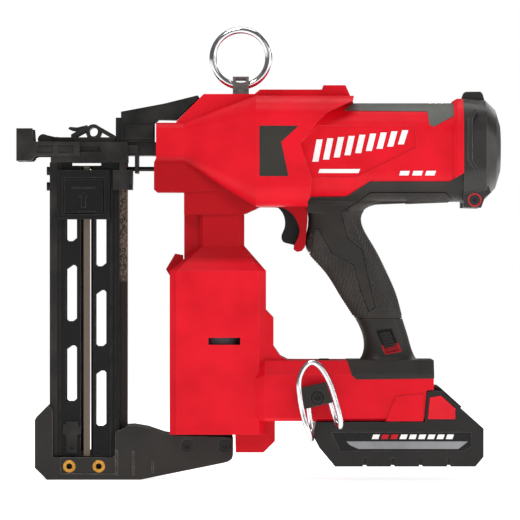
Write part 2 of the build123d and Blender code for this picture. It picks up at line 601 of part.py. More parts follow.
# ---- housing screws on the right --------------------------------------------------------------------
with BuildPart() as housing_screws:
    for x, z, reach in SCREW_SPOTS:
        seat = reach - HEAD_DEPTH
        socket_screw_y(x, z, seat, 1, 2.9, 2.4, 1.6, seat + 12.0, 1.4)
housing_screws.part.label = "housing_screws"

# ---- nose: driver guide, door, lever, work contact -----------------------------------------------------
NOSE_HALF = 18.0
DOOR_PIVOT = (-35.4, 237.0)
EYE = (-0.4, 242.4)
with BuildPart() as nose_body:
    slab([(-29.9, 235.2), (-29.9, 221.1), (23.4, 221.1), (23.4, 235.2)], -NOSE_HALF, NOSE_HALF)
    slab([(23.4, 225.8), (47.0, 225.8), (47.0, 235.2), (23.4, 235.2)], -12.5, 12.5)
    cheeks([(-29.9, 226.0), (-35.4, 232.6), (-38.8, 235.4), (-39.2, 237.6), (-36.4, 240.6),
            (-32.4, 239.6), (-29.0, 235.2), (-28.0, 230.0)], 9.5, 12.5)
    block(-31.0, 48.0, -8.6, 8.6, 225.9, 230.1, Mode.SUBTRACT)
    block(-28.3, 17.4, -8.7, 8.7, 220.0, 226.4, Mode.SUBTRACT)
    block(-27.0, 15.4, -8.6, 8.6, 229.9, 236.0, Mode.SUBTRACT)
    pair(-19.0, 24.0, 12.8, 15.5, 227.3, 233.3, Mode.SUBTRACT)
    pair(-16.2, 4.5, 15.0, 19.0, 228.2, 232.5, Mode.SUBTRACT)
    peg_y(*DOOR_PIVOT, 1.5, -12.5, 12.5)
    # rear flange that bolts to the drive frame
    block(44.4, 47.0, -12.5, 12.5, 224.0, 236.4)
    block(43.0, 48.0, -8.6, 8.6, 225.9, 230.1, Mode.SUBTRACT)
nose_body.part.label = "nose_body"

with BuildPart() as nose_door:
    slab([(-27.4, 235.4), (-27.4, 238.6), (15.0, 238.6), (15.0, 235.4)], -12.4, 12.4)
    slab([(-36.0, 234.6), (-33.0, 240.2), (-27.4, 238.9), (-25.0, 238.9), (-25.0, 235.4),
          (-30.0, 235.4)], -9.3, 9.3)
    block(-26.5, 14.4, -8.4, 8.4, 230.4, 235.4)
    peg_y(*DOOR_PIVOT, 3.9, -9.3, 9.3)
    for side in (-1, 1):
        near = 9.3 if side > 0 else -11.5
        far = 11.5 if side > 0 else -9.3
        peg_y(*EYE, 4.9, near, far)
        slab([(-4.8, 238.0), (4.0, 238.0), (4.0, 243.0), (-4.8, 243.0)], near, far)
        slab([(-5.4, 246.4), (-16.0, 240.6), (-16.0, 238.6), (-13.0, 238.6), (-3.6, 243.6)],
             near, far)
        slab([(3.6, 246.2), (14.8, 239.8), (14.8, 238.6), (11.4, 238.6), (2.6, 243.6)],
             near, far)
    block(-6.4, 5.6, -9.3, 9.3, 236.8, 240.0, Mode.SUBTRACT)
    peg_y(*EYE, 3.9, -11.5, 11.5)
    peg_y(*EYE, 3.1, -12.0, 12.0, Mode.SUBTRACT)
    peg_y(*DOOR_PIVOT, 1.56, -13.0, 13.0, Mode.SUBTRACT)
nose_door.part.label = "nose_door"

with BuildPart() as latch_lever:
    peg_y(*EYE, 5.4, -9.0, 9.0)
    slab([(-18.2, 244.6), (-17.2, 246.0), (-12.0, 245.6), (-5.0, 247.2), (-4.0, 243.4),
          (-9.0, 243.0), (-15.0, 243.2)], -7.0, 7.0)
    peg_y(*EYE, 3.96, -10.0, 10.0, Mode.SUBTRACT)
latch_lever.part.label = "latch_lever"

ARM_IN = 18.2
ARM_OUT = 21.2
with BuildPart() as work_contact:
    cheeks([(-46.0, 235.4), (-9.6, 235.2), (-9.6, 225.4), (-39.6, 225.4), (-46.0, 223.0)],
           ARM_IN, ARM_OUT)
    cheeks([(-53.6, 244.6), (-42.6, 244.6), (-41.9, 235.6), (-41.9, 223.6), (-43.3, 222.2),
            (-53.6, 222.0)], 13.0, ARM_OUT)
    block(-53.6, -47.5, -13.0, 13.0, 238.6, 244.6)
    block(-53.6, -47.5, -13.0, 13.0, 222.0, 225.4)
    block(-54.0, -50.2, -4.5, 4.5, 221.0, 246.0, Mode.SUBTRACT)
    pair(-39.1, -28.2, 20.0, 22.0, 227.2, 233.2, Mode.SUBTRACT)
    pair(-24.5, -13.7, 20.0, 22.0, 227.2, 233.2, Mode.SUBTRACT)
    for side in (-1, 1):
        peg_y(-11.8, 230.35, 1.95, 15.2 if side > 0 else -ARM_IN, ARM_IN if side > 0 else -15.2)
work_contact.part.label = "work_contact"

with BuildPart() as contact_link:
    cheeks([(-17.0, 233.1), (-17.0, 227.5), (28.6, 227.5), (28.6, 213.5), (31.0, 213.5),
            (31.0, 233.1)], 13.0, 15.2)
    block(28.6, 31.0, -15.2, 15.2, 213.5, 225.2)
    peg_x(0, 216.7, 1.6, 17.8, 66.0)
    peg_x(0, 216.7, 3.0, 45.1, 46.5)
contact_link.part.label = "contact_link"

with BuildLine() as spring_line:
    Helix(pitch=2.55, height=14.2, radius=2.5, center=(47.0, 0, 216.7), direction=(1, 0, 0))
with BuildPart() as contact_spring:
    with BuildSketch(Plane(origin=spring_line.line @ 0, z_dir=spring_line.line % 0)) as wire:
        Circle(0.4)
    sweep(wire.sketch, path=spring_line.line, is_frenet=True)
contact_spring.part.label = "contact_spring"

with BuildPart() as depth_wheel:
    peg_x(0, 216.7, 4.2, 18.5, 23.5)
    for number in range(16):
        angle = 2 * pi * number / 16
        peg_x(4.5 * cos(angle), 216.7 + 4.5 * sin(angle), 0.55, 18.0, 24.0, Mode.SUBTRACT)
    peg_x(0, 216.7, 1.66, 18.0, 24.0, Mode.SUBTRACT)
depth_wheel.part.label = "depth_wheel"

with BuildPart() as top_shield:
    slab([(19.0, 256.3), (49.3, 262.0), (72.3, 267.7), (73.4, 266.4), (57.3, 250.9),
          (45.1, 251.2), (41.9, 248.6), (41.9, 235.3), (19.0, 235.3)], -16, 16)
    slab([(15.2, 239.0), (15.2, 252.3), (19.0, 252.3), (19.0, 235.2), (15.8, 235.2)], -12, 12)
    block(22.0, 41.4, -18.0, 18.0, 237.6, 247.0)
    slab([(21.5, 230.0), (21.5, 253.8), (49.5, 259.2), (60.5, 261.8), (52.5, 253.8),
          (44.0, 253.8), (39.4, 250.2), (39.4, 230.0)], -13.5, 13.5, Mode.SUBTRACT)
top_shield.part.label = "top_shield"

# ---- magazine ---------------------------------------------------------------------------------------------
MAG_TOP = 221.1
MAG_LOW = 16.5
with BuildPart() as front_strip:
    block(-30.8, -25.6, -12.4, 12.4, MAG_LOW, MAG_TOP)
    for z in (215.3, 204.5):
        # set studs
        peg_x(0, z, 3.0, -33.4, -30.8)
        peg_x(0, z, 1.4, -33.5, -31.9, Mode.SUBTRACT)
front_strip.part.label = "front_strip"

WINDOW_H = 39.3
WINDOW_STEP = 56.05


def window(x0, z0):
    x1 = x0 + 7.6
    z1 = z0 + WINDOW_H
    return [(x0, z0 + 1.2), (x0 + 1.2, z0), (x1 - 2.8, z0), (x1, z0 + 2.2), (x1, z1 - 1.4),
            (x1 - 1.2, z1), (x0 + 4.2, z1), (x0, z1 - 3.0)]


def magazine_side(side, slot_front, slot_rear):
    """One channel wall, split by the gap that the pusher webs run in."""
    def wall(x0, x1, y0, y1, z0, z1, mode=Mode.ADD):
        block(x0, x1, min(side * y0, side * y1), max(side * y0, side * y1), z0, z1, mode)
    wall(-25.6, slot_front, MAG_IN, 11.6, MAG_LOW, 218.8)
    wall(-25.6, -16.0, MAG_IN, 11.6, 218.0, MAG_TOP)
    wall(slot_rear, 17.8, MAG_IN, 12.0, MAG_LOW, 218.8)
    wall(5.0, 17.8, MAG_IN, 12.0, 218.0, MAG_TOP)
    wall(15.0, 17.8, 11.0, 13.2, MAG_LOW, 200.0)
    wall(11.4, 12.6, 11.0, 12.8, MAG_LOW, 216.0)
    wall(-25.6, -23.6, 11.0, 12.2, MAG_LOW, MAG_TOP)
    wall(-10.4, 1.0, 6.8, 9.4, MAG_LOW, 20.0)
    wall(-10.4, 1.0, 6.8, 9.4, 216.8, 218.8)
    for number in range(3):
        for x, z in ((-19.5, 166.2), (1.0, 148.7)):
            slab(window(x, z - WINDOW_STEP * number), min(side * 8, side * 14),
                 max(side * 8, side * 14), Mode.SUBTRACT)


# the left slot runs on both sides of a guide strip, and the right one is between them in x,
# so no light passes through both
WIDE_SLOT = (-9.2, -0.6)
NARROW_SLOT = (-7.0, -2.8)
with BuildPart() as magazine_walls:
    magazine_side(-1, *WIDE_SLOT)
    magazine_side(1, *NARROW_SLOT)
magazine_walls.part.label = "magazine_walls"

with BuildPart() as magazine_rails:
    block(-7.1, -2.7, -11.8, -9.4, MAG_LOW, 218.8)
    block(14.6, 17.2, -8.7, 8.7, MAG_LOW, MAG_TOP)
    block(17.2, 23.2, -6.0, 6.0, 34.0, 204.0)
    pair(22.0, 23.2, 3.4, 7.0, 34.0, 204.0)
magazine_rails.part.label = "magazine_rails"

LATCH_GAP = 5.3
with BuildPart() as magazine_latch:
    block(17.9, 26.7, -15.0, 15.0, 202.0, 215.7)
    pair(13.2, 17.9, 13.3, 15.0, 202.0, 215.7)
    pair(17.9, 22.9, 8.8, 15.0, 215.7, MAG_TOP)
    block(17.0, 35.0, -LATCH_GAP, LATCH_GAP, 211.8, 222.0, Mode.SUBTRACT)
    block(17.0, 23.3, -7.1, 7.1, 200.0, 204.0, Mode.SUBTRACT)
    pair(24.3, 27.0, 11.0, 16.0, 201.0, 206.0, Mode.SUBTRACT)
magazine_latch.part.label = "magazine_latch"

PUSH_LOW = 181.5
PUSH_TOP = 215.7
with BuildPart() as pusher:
    block(-24.6, 13.9, -8.5, 8.5, PUSH_LOW + 2, PUSH_TOP - 2)
    block(-8.9, -7.4, -12.6, -8.0, PUSH_LOW + 2, PUSH_TOP - 4)
    block(-2.4, -0.9, -12.6, -8.0, PUSH_LOW + 2, PUSH_TOP - 4)
    block(-6.7, -3.1, 8.0, 12.6, PUSH_LOW + 2, PUSH_TOP - 4)
    pair(-25.3, 11.0, 12.5, 16.6, PUSH_LOW, PUSH_TOP)
    for side in (-1, 1):
        face = Plane(origin=(-7.1, side * 16.6, 197.5), x_dir=(1, 0, 0), z_dir=(0, -side, 0))
        with BuildSketch(face) as wide_mouth:
            RectangleRounded(29.0, 25.6, 1.0)
        extrude(wide_mouth.sketch, amount=1.6, taper=38, dir=(0, -side, 0), mode=Mode.SUBTRACT)
    for side in (-1, 1):
        low = 14.9 if side > 0 else -15.5
        high = 15.5 if side > 0 else -14.9
        slab([(-15.4, 203.8), (1.2, 203.8), (1.2, 202.9), (-15.4, 202.9)], low, high)
        slab([(-15.4, 187.0), (1.2, 187.0), (1.2, 186.1), (-15.4, 186.1)], low, high)
        slab([(-8.6, 189.5), (-5.6, 189.5), (-5.6, 197.0), (-3.9, 197.0), (-7.1, 200.6),
              (-10.3, 197.0), (-8.6, 197.0)], low, high)
    peg_y(-7.0, 198.0, 10.2, -5.2, 5.2, Mode.SUBTRACT)
pusher.part.label = "pusher"

with BuildPart() as pusher_spring:
    peg_y(-7.0, 198.0, 10.0, -5.0, 5.0)
    peg_y(-7.0, 198.0, 7.4, -6.0, 6.0, Mode.SUBTRACT)
    peg_y(-7.0, 198.0, 7.3, -5.0, 5.0)
pusher_spring.part.label = "pusher_spring"

with BuildPart() as load_catch:
    slab([(-21.5, 38.6), (-19.6, 38.6), (-19.6, 40.5), (-11.2, 40.5), (-11.2, 38.6),
          (-9.4, 36.0), (-9.4, 32.0), (-11.6, 30.6), (-11.6, 18.6), (-19.2, 18.6),
          (-19.2, 30.6), (-21.5, 32.0)], -13.2, -11.6)
    peg_y(-15.4, 22.5, 3.1, -13.8, -13.2)
    peg_y(-15.4, 22.5, 1.4, -14.0, -12.4, Mode.SUBTRACT)
load_catch.part.label = "load_catch"

# ---- magazine shoe and the tongue that carries it ---------------------------------------------------------------
SHOE = [(-41.0, 41.6), (-39.6, 44.0), (-31.2, 52.4), (-28.5, 48.2), (-28.5, 15.8),
        (12.9, 15.4), (14.8, 16.8), (15.3, 31.8), (16.2, 34.1), (21.9, 36.0), (23.3, 37.9),
        (28.0, 38.1), (37.4, 36.5), (48.6, 32.7), (58.0, 30.8), (94.5, 29.7), (96.9, 28.4),
        (96.9, 16.5), (96.2, 14.4), (93.6, 12.6), (89.8, 11.6), (32.5, 0.0), (-32.6, 0.0),
        (-41.0, 8.3)]
INSERTS = [(-17.0, 9.4), (3.6, 9.4)]
SHOE_SCREWS = [(65.2, 23.8), (91.4, 23.8)]
with BuildPart() as magazine_shoe:
    slab(SHOE, -SHOE_HALF, SHOE_HALF)
    block(-30.8, 17.9, -13.3, 13.3, MAG_LOW, 60.0, Mode.SUBTRACT)
    block(17.0, 23.3, -7.1, 7.1, 33.9, 45.0, Mode.SUBTRACT)
    slab([(57.5, 40.0), (57.5, 15.0), (62.0, 10.5), (98.0, 17.0), (98.0, 40.0)], -7.6, 7.6,
         Mode.SUBTRACT)
    cheeks([(-23.0, 4.2), (-23.0, 14.6), (-20.0, 16.0), (15.0, 16.0), (15.0, 4.2)],
           16.0, 18.0, Mode.SUBTRACT)
    cheeks([(15.5, 3.0), (15.5, 20.7), (16.9, 20.7), (16.9, 3.0)], 16.5, 17.8)
    cheeks([(26.8, 3.0), (26.8, 20.0), (28.2, 20.0), (28.2, 3.0)], 16.5, 17.8)
    cheeks([(40.4, 5.0), (40.4, 13.0), (41.8, 13.0), (41.8, 5.0)], 16.5, 17.8)
    for x, z in INSERTS:
        peg_y(x, z, 4.3, -20.0, 20.0, Mode.SUBTRACT)
    for x, z in SHOE_SCREWS:
        peg_y(x, z, 4.4, 14.0, 20.0, Mode.SUBTRACT)
        peg_y(x, z, 4.4, -20.0, -14.0, Mode.SUBTRACT)
        peg_y(x, z, 2.5, -20.0, 20.0, Mode.SUBTRACT)
magazine_shoe.part.label = "magazine_shoe"

with BuildPart() as brass_inserts:
    for x, z in INSERTS:
        peg_y(x, z, 4.3, -16.6, 16.6)
        peg_y(x, z, 2.1, -18.0, 18.0, Mode.SUBTRACT)
brass_inserts.part.label = "brass_inserts"

with BuildPart() as tongue:
    block(58.4, 96.6, -7.4, 7.4, 17.2, 46.0)
    block(57.6, 98.4, -18.0, 18.0, 34.5, 38.5)
    for x, z in SHOE_SCREWS:
        peg_y(x, z, 2.5, -9.0, 9.0, Mode.SUBTRACT)
tongue.part.label = "tongue"

with BuildPart() as socket_screws:
    for x, z in SHOE_SCREWS:
        for side in (-1, 1):
            socket_screw_y(x, z, side * 14.0, side, 4.1, 2.9, 2.5, 11.0, 2.2)
    socket_screw_y(*HOOK_SCREW, -46.4, -1, 4.1, 2.9, 2.5, 11.0, 2.2)
socket_screws.part.label = "socket_screws"

# ---- battery pack ---------------------------------------------------------------------------------------------------
CASE = [(154.3, 41.0), (152.8, 33.0), (152.8, 30.6), (153.3, 29.8), (156.9, 23.1), (167.7, 10.2),
        (264.7, 10.2), (270.4, 16.9), (270.4, 36.5), (242.0, 61.8), (236.4, 62.6),
        (231.4, 61.8), (229.8, 41.0)]
BUTTON = [(231.8, 43.0), (233.2, 58.0), (241.0, 59.2), (250.8, 50.2), (250.8, 43.0)]
with BuildPart() as battery_case:
    slab(CASE, -BATTERY_HALF, BATTERY_HALF)
    slab([(236.4, 62.0), (236.6, 65.6), (240.1, 65.2), (256.0, 51.0), (250.0, 45.0)], -20, 20)
    slab([(164.0, 26.0), (171.0, 17.0), (262.0, 17.0), (262.0, 38.5), (164.0, 38.5)],
         -BATTERY_HALF + 2, BATTERY_HALF - 2, Mode.SUBTRACT)
    cheeks([(165.0, 33.9), (171.0, 20.9), (178.0, 20.9), (256.0, 20.9), (262.0, 24.0),
            (262.0, 33.9)], BATTERY_HALF - 0.6, BATTERY_HALF + 1, Mode.SUBTRACT)
    for number in range(4):
        x = 188.2 + 19.4 * number
        pair(x - 1.3, x + 1.3, BATTERY_HALF - 1.4, BATTERY_HALF + 1, 9.0, 16.4, Mode.SUBTRACT)
        block(x - 1.3, x + 1.3, -40.0, 40.0, 9.0, 11.2, Mode.SUBTRACT)
    for button_side in (-1, 1):
        grown_slab(BUTTON, 0.2, 31.0 if button_side > 0 else -40.0,
                   40.0 if button_side > 0 else -31.0, Mode.SUBTRACT)
    block(160.4, 229.0, -21.4, 21.4, 41.0, 47.0)
    block(160.4, 229.0, -27.3, 27.3, 46.8, 54.4)
    for number in range(5):
        y = -12.0 + 6.0 * number
        block(159.0, 176.0, y - 0.9, y + 0.9, 47.4, 55.0, Mode.SUBTRACT)
battery_case.part.label = "battery_case"

CELL_R = 10.4
with BuildPart() as battery_cells:
    for number in range(4):
        peg_y(180.0 + 2 * (CELL_R + 0.2) * number, 27.8, CELL_R, -35.0, 35.0)
battery_cells.part.label = "battery_cells"

for name, sign in (("release_left", -1), ("release_right", 1)):
    with BuildPart() as release:
        slab(BUTTON, 34.0 if sign > 0 else -BATTERY_HALF - 0.6,
             BATTERY_HALF + 0.6 if sign > 0 else -34.0)
    release.part.label = name
    export_step(release.part, "parts/" + name + ".step")

with BuildPart() as controller:
    # terminal block of the battery seat, with its blades
    block(148.6, 157.0, -15.5, 15.5, 44.2, 54.4)
    for number in range(5):
        y = -12.0 + 6.0 * number
        block(157.0, 172.0, y - 0.4, y + 0.4, 48.6, 53.6)

    block(178.0, 226.0, -24.0, 24.0, 57.4, 59.0)
    block(184.0, 196.0, -10.0, 10.0, 59.0, 66.0)
    block(202.0, 220.0, -16.0, 16.0, 59.0, 62.0)
controller.part.label = "controller"

# ---- motor, gearbox, lifter --------------------------------------------------------------------------------------------
with BuildPart() as stator:
    peg_z(MOTOR_X, 0, MOTOR_R, 84.0, 120.0)
    peg_z(MOTOR_X, 0, 15.0, 83.0, 121.0, Mode.SUBTRACT)
    for number in range(6):
        angle = 2 * pi * number / 6
        peg_z(MOTOR_X + 19.6 * cos(angle), 19.6 * sin(angle), 3.4, 83.0, 121.0, Mode.SUBTRACT)
stator.part.label = "stator"

SUN_OUT = gear_points(SUN_TEETH, PLANET_MODULE, (MOTOR_X, 0), 0, -1.2, 0.85, 0.27, 0.10)
with BuildPart() as rotor:
    peg_z(MOTOR_X, 0, 14.4, 85.0, 119.0)
    peg_z(MOTOR_X, 0, 2.4, 60.0, 166.0)
    prism_z(SUN_OUT, 166.0, 179.0)
    peg_z(MOTOR_X, 0, 22.0, 71.0, 72.6)
    peg_z(MOTOR_X, 0, 5.0, 71.0, 79.0)
    for number in range(12):
        with Locations(Location((MOTOR_X, 0, 75.4), (0, 0, 30 * number))):
            with Locations((13.4, 0, 0)):
                Box(16.6, 1.0, 6.0)
rotor.part.label = "rotor"

RING_OUT_R = 14.0
RING_SPACE = gear_points(RING_TEETH, PLANET_MODULE, (MOTOR_X, 0), 0, -0.8, 1.2, 0.39, 0.22)
with BuildPart() as ring_gear:
    peg_z(MOTOR_X, 0, RING_OUT_R, 166.4, 179.6)
    prism_z(RING_SPACE, 166.0, 180.0, Mode.SUBTRACT)
    peg_z(MOTOR_X, 0, PLANET_MODULE * (RING_TEETH / 2 - 0.8), 166.0, 180.0, Mode.SUBTRACT)
ring_gear.part.label = "ring_gear"

PLANET_ORBIT = PLANET_MODULE * (SUN_TEETH + PLANET_TEETH) / 2
for number in range(3):
    turn = 120.0 * number
    spot = (MOTOR_X + PLANET_ORBIT * cos(radians(turn)), PLANET_ORBIT * sin(radians(turn)))
    teeth = gear_points(PLANET_TEETH, PLANET_MODULE, spot, turn, -1.2, 0.85, 0.27, 0.10)
    with BuildPart() as planet:
        prism_z(teeth, 167.2, 178.6)
        peg_z(spot[0], spot[1], 1.56, 166.0, 180.0, Mode.SUBTRACT)
    planet.part.label = "planet_" + "abc"[number]
    export_step(planet.part, "parts/planet_" + "abc"[number] + ".step")

MESH_TURN = degrees(atan2(LIFTER_Y, LIFTER_X - MOTOR_X))
PINION = gear_points(PINION_TEETH, 1.0, (MOTOR_X, 0), MESH_TURN, -1.15, 0.85, 0.27, 0.10)
with BuildPart() as carrier:
    peg_z(MOTOR_X, 0, 11.0, 180.2, 183.0)
    for number in range(3):
        turn = radians(120.0 * number)
        peg_z(MOTOR_X + PLANET_ORBIT * cos(turn), PLANET_ORBIT * sin(turn), 1.5, 167.0, 181.0)
    peg_z(MOTOR_X, 0, 4.0, 183.0, 215.0)
    prism_z(PINION, 209.0, 215.0)
carrier.part.label = "carrier"

GEAR_PHASE = MESH_TURN + 180.0 + 180.0 / LIFTER_TEETH
LIFTER_OUT = gear_points(LIFTER_TEETH, 1.0, (LIFTER_X, LIFTER_Y), GEAR_PHASE,
                         -1.15, 0.85, 0.27, 0.10)
with BuildPart() as lifter_wheel:
    prism_z(LIFTER_OUT, 209.0, 215.0)
    peg_z(LIFTER_X, LIFTER_Y, 14.4, 219.4, 223.4)
    peg_z(LIFTER_X, LIFTER_Y, 4.0, 204.2, 236.6)
    for number in range(PIN_SLOTS - 1):
        angle = 2 * pi * number / PIN_SLOTS
        peg_z(LIFTER_X + PIN_RING * sin(angle), LIFTER_Y - PIN_RING * cos(angle), PIN_R,
              221.0, 230.6)
lifter_wheel.part.label = "lifter_wheel"

FRAME_TOP = 233.0
with BuildPart() as drive_frame:
    block(47.0, 52.0, -16.0, 16.0, 224.0, 245.0)
    block(52.0, 146.0, -15.0, -11.0, 218.0, 237.0)
    block(52.0, 146.0, -15.0, 15.0, FRAME_TOP, 237.0)
    peg_z(LIFTER_X, LIFTER_Y, 13.0, FRAME_TOP, 237.0)
    block(72.0, 122.0, -13.8, 13.8, 204.0, 207.4)
    peg_z(LIFTER_X, LIFTER_Y, 11.0, 204.0, 207.4)
    block(104.0, 122.0, -15.0, -11.0, 204.0, 219.0)
    block(144.0, 150.4, -20.0, 20.0, 212.0, 244.0)
    block(61.4, 64.6, -16.2, 16.2, 215.0, 220.6, Mode.SUBTRACT)
    block(46.0, 53.0, -9.2, 9.2, 225.0, 231.0, Mode.SUBTRACT)
    block(143.0, 151.0, -9.2, 9.2, 225.2, 230.8, Mode.SUBTRACT)
    peg_z(MOTOR_X, 0, 7.0, 202.0, 208.0, Mode.SUBTRACT)
    peg_z(LIFTER_X, LIFTER_Y, 7.0, 202.0, 208.0, Mode.SUBTRACT)
    peg_z(LIFTER_X, LIFTER_Y, 7.0, 232.0, 238.0, Mode.SUBTRACT)
drive_frame.part.label = "drive_frame"

with BuildPart() as bearings:
    peg_z(MOTOR_X, 0, 9.0, 62.2, 67.8)
    peg_z(MOTOR_X, 0, 11.0, 126.2, 131.8)
    peg_z(MOTOR_X, 0, 2.44, 60.0, 140.0, Mode.SUBTRACT)
    for x, y, low, high in ((MOTOR_X, 0, 204.0, 207.4), (LIFTER_X, LIFTER_Y, 204.0, 207.4),
                            (LIFTER_X, LIFTER_Y, 233.0, 236.8)):
        peg_z(x, y, 7.0, low, high)
        peg_z(x, y, 4.04, low - 1, high + 1, Mode.SUBTRACT)
bearings.part.label = "bearings"

TOOTH_TIP = 8.0
NOTCH_ROOT = 4.4
with BuildPart() as driver_blade:
    block(BLADE_FRONT, PISTON_X, -BLADE_HALF, BLADE_HALF, DRIVE_Z - BLADE_T / 2,
          DRIVE_Z + BLADE_T / 2)
    for number in range(PIN_SLOTS):
        x = LIFTER_X + RACK_PITCH * (number - 0.5)
        block(x - 1.6, x + 1.6, 0.0, TOOTH_TIP, DRIVE_Z - BLADE_T / 2, DRIVE_Z + BLADE_T / 2)
    for number in range(PIN_SLOTS - 1):
        x = LIFTER_X + RACK_PITCH * number
        half = RACK_PITCH / 2 - 1.6
        block(x - half, x + half, NOTCH_ROOT, 12.0, 220.0, 236.0, Mode.SUBTRACT)
    peg_x(0, DRIVE_Z, 20.9, PISTON_X, PISTON_X + 11)
    peg_x(0, DRIVE_Z, 15.0, PISTON_X + 4, PISTON_X + 12, Mode.SUBTRACT)
    for x in (PISTON_X + 3.0, PISTON_X + 7.0):
        with BuildSketch(Plane.YZ.offset(x)) as groove:
            with Locations((0, DRIVE_Z)):
                Circle(22.0)
                Circle(20.2, mode=Mode.SUBTRACT)
        extrude(groove.sketch, amount=1.2, dir=(1, 0, 0), mode=Mode.SUBTRACT)
driver_blade.part.label = "driver_blade"

TANK_FRONT = 150.6
with BuildPart() as pressure_tank:
    peg_x(0, DRIVE_Z, 30.0, TANK_FRONT, 262.0)
    peg_x(0, DRIVE_Z, 28.0, TANK_FRONT + 2.4, 258.0, Mode.SUBTRACT)
    block(149.0, 154.0, -9.4, 9.4, 225.2, 230.8, Mode.SUBTRACT)
pressure_tank.part.label = "pressure_tank"
with BuildPart() as cylinder:
    peg_x(0, DRIVE_Z, 23.5, 153.0, 248.0)
    peg_x(0, DRIVE_Z, 21.0, 152.0, 249.0, Mode.SUBTRACT)
cylinder.part.label = "cylinder"
with BuildPart() as bumper:
    peg_x(0, DRIVE_Z, 20.9, 153.0, 164.0)
    block(152.0, 165.0, -9.4, 9.4, 225.2, 230.8, Mode.SUBTRACT)
bumper.part.label = "bumper"
# ---- files ---------------------------------------------------------------------------------------------------------------
for piece in (housing_left, housing_right, handle_left, handle_right, grip_left, grip_right,
              rear_cap, cap_screws, top_inlay, side_inlays, badges, hang_strap, hang_ring,
              trigger, trigger_switch, lock_frame, lock_switch, control_panel, mode_button,
              belt_hook, hook_clamp, socket_screws, housing_screws, nose_body, nose_door,
              latch_lever, work_contact, contact_link, contact_spring, depth_wheel,
              top_shield, front_strip, magazine_walls, magazine_rails, magazine_latch,
              pusher, pusher_spring, load_catch, magazine_shoe, brass_inserts, tongue,
              battery_case, battery_cells, controller, stator, rotor, bearings, ring_gear,
              carrier, lifter_wheel, drive_frame, driver_blade, pressure_tank, cylinder,
              bumper):
    export_step(piece.part, "parts/" + piece.part.label + ".step")
    print(piece.part.label, len(piece.part.solids()), round(piece.part.volume))
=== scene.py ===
from math import cos, hypot, pi, radians, sin

import bmesh
import bpy
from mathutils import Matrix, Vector
from mathutils.bvhtree import BVHTree


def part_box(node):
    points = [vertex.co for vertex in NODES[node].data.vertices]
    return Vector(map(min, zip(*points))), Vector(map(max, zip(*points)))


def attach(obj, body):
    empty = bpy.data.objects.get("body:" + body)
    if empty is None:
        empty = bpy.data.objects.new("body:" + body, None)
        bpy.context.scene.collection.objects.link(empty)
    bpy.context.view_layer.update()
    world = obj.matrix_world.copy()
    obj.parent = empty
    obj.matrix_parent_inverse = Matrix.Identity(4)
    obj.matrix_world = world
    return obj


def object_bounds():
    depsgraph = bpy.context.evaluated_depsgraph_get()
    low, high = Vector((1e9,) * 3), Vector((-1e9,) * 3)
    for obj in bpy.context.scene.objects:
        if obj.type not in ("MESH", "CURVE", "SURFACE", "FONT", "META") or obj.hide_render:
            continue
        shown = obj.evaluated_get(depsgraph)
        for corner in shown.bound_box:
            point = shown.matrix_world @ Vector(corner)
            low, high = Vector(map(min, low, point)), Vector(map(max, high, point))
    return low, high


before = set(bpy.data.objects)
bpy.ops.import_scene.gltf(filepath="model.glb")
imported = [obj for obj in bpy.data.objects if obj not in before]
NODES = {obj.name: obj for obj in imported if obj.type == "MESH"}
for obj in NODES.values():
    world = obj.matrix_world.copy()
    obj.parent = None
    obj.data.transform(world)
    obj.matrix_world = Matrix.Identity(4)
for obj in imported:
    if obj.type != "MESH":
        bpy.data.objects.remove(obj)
CAD_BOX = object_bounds()

# ---- units and driving values ------------------------------------------------------
MM = 0.001
SIDES = (-1, 1)                 # left of the tool, right of the tool
EDGE_SOFT = 0.5 * MM            # rounding that moulded edges show
SCALE_STEP = 1.25 * MM          # half width of one grip scale
SCALE_ROW = 1.35 * MM           # half height of one grip scale
SCALE_RISE = 0.65 * MM          # tip above the rubber
SCALE_SINK = 0.3 * MM           # base below the rubber
SCALE_SPREAD = 1.6 * SCALE_ROW  # widest scale that is kept
SCALE_TURN = 0.85               # cosine of the sharpest bend under one scale
LINE_RADIUS = 0.32 * MM         # outline beads on the handle
CAMERA_DISTANCE = 3.0
SENSOR_WIDTH = 36.0
VIEW_WIDTH = 0.364              # seen at the middle of the tool
VIEW_SHIFT_X = 1.0 * MM         # aim, measured from the middle of the model's box
VIEW_SHIFT_Z = -5.1 * MM


def middle(node):
    low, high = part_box(node)
    return (low + high) / 2


def linear(code):
    """An sRGB colour such as C8102E as linear RGBA."""
    channels = [int(code[i:i + 2], 16) / 255 for i in (0, 2, 4)]
    curved = [c / 12.92 if c <= 0.04045 else ((c + 0.055) / 1.055) ** 2.4 for c in channels]
    return (*curved, 1.0)


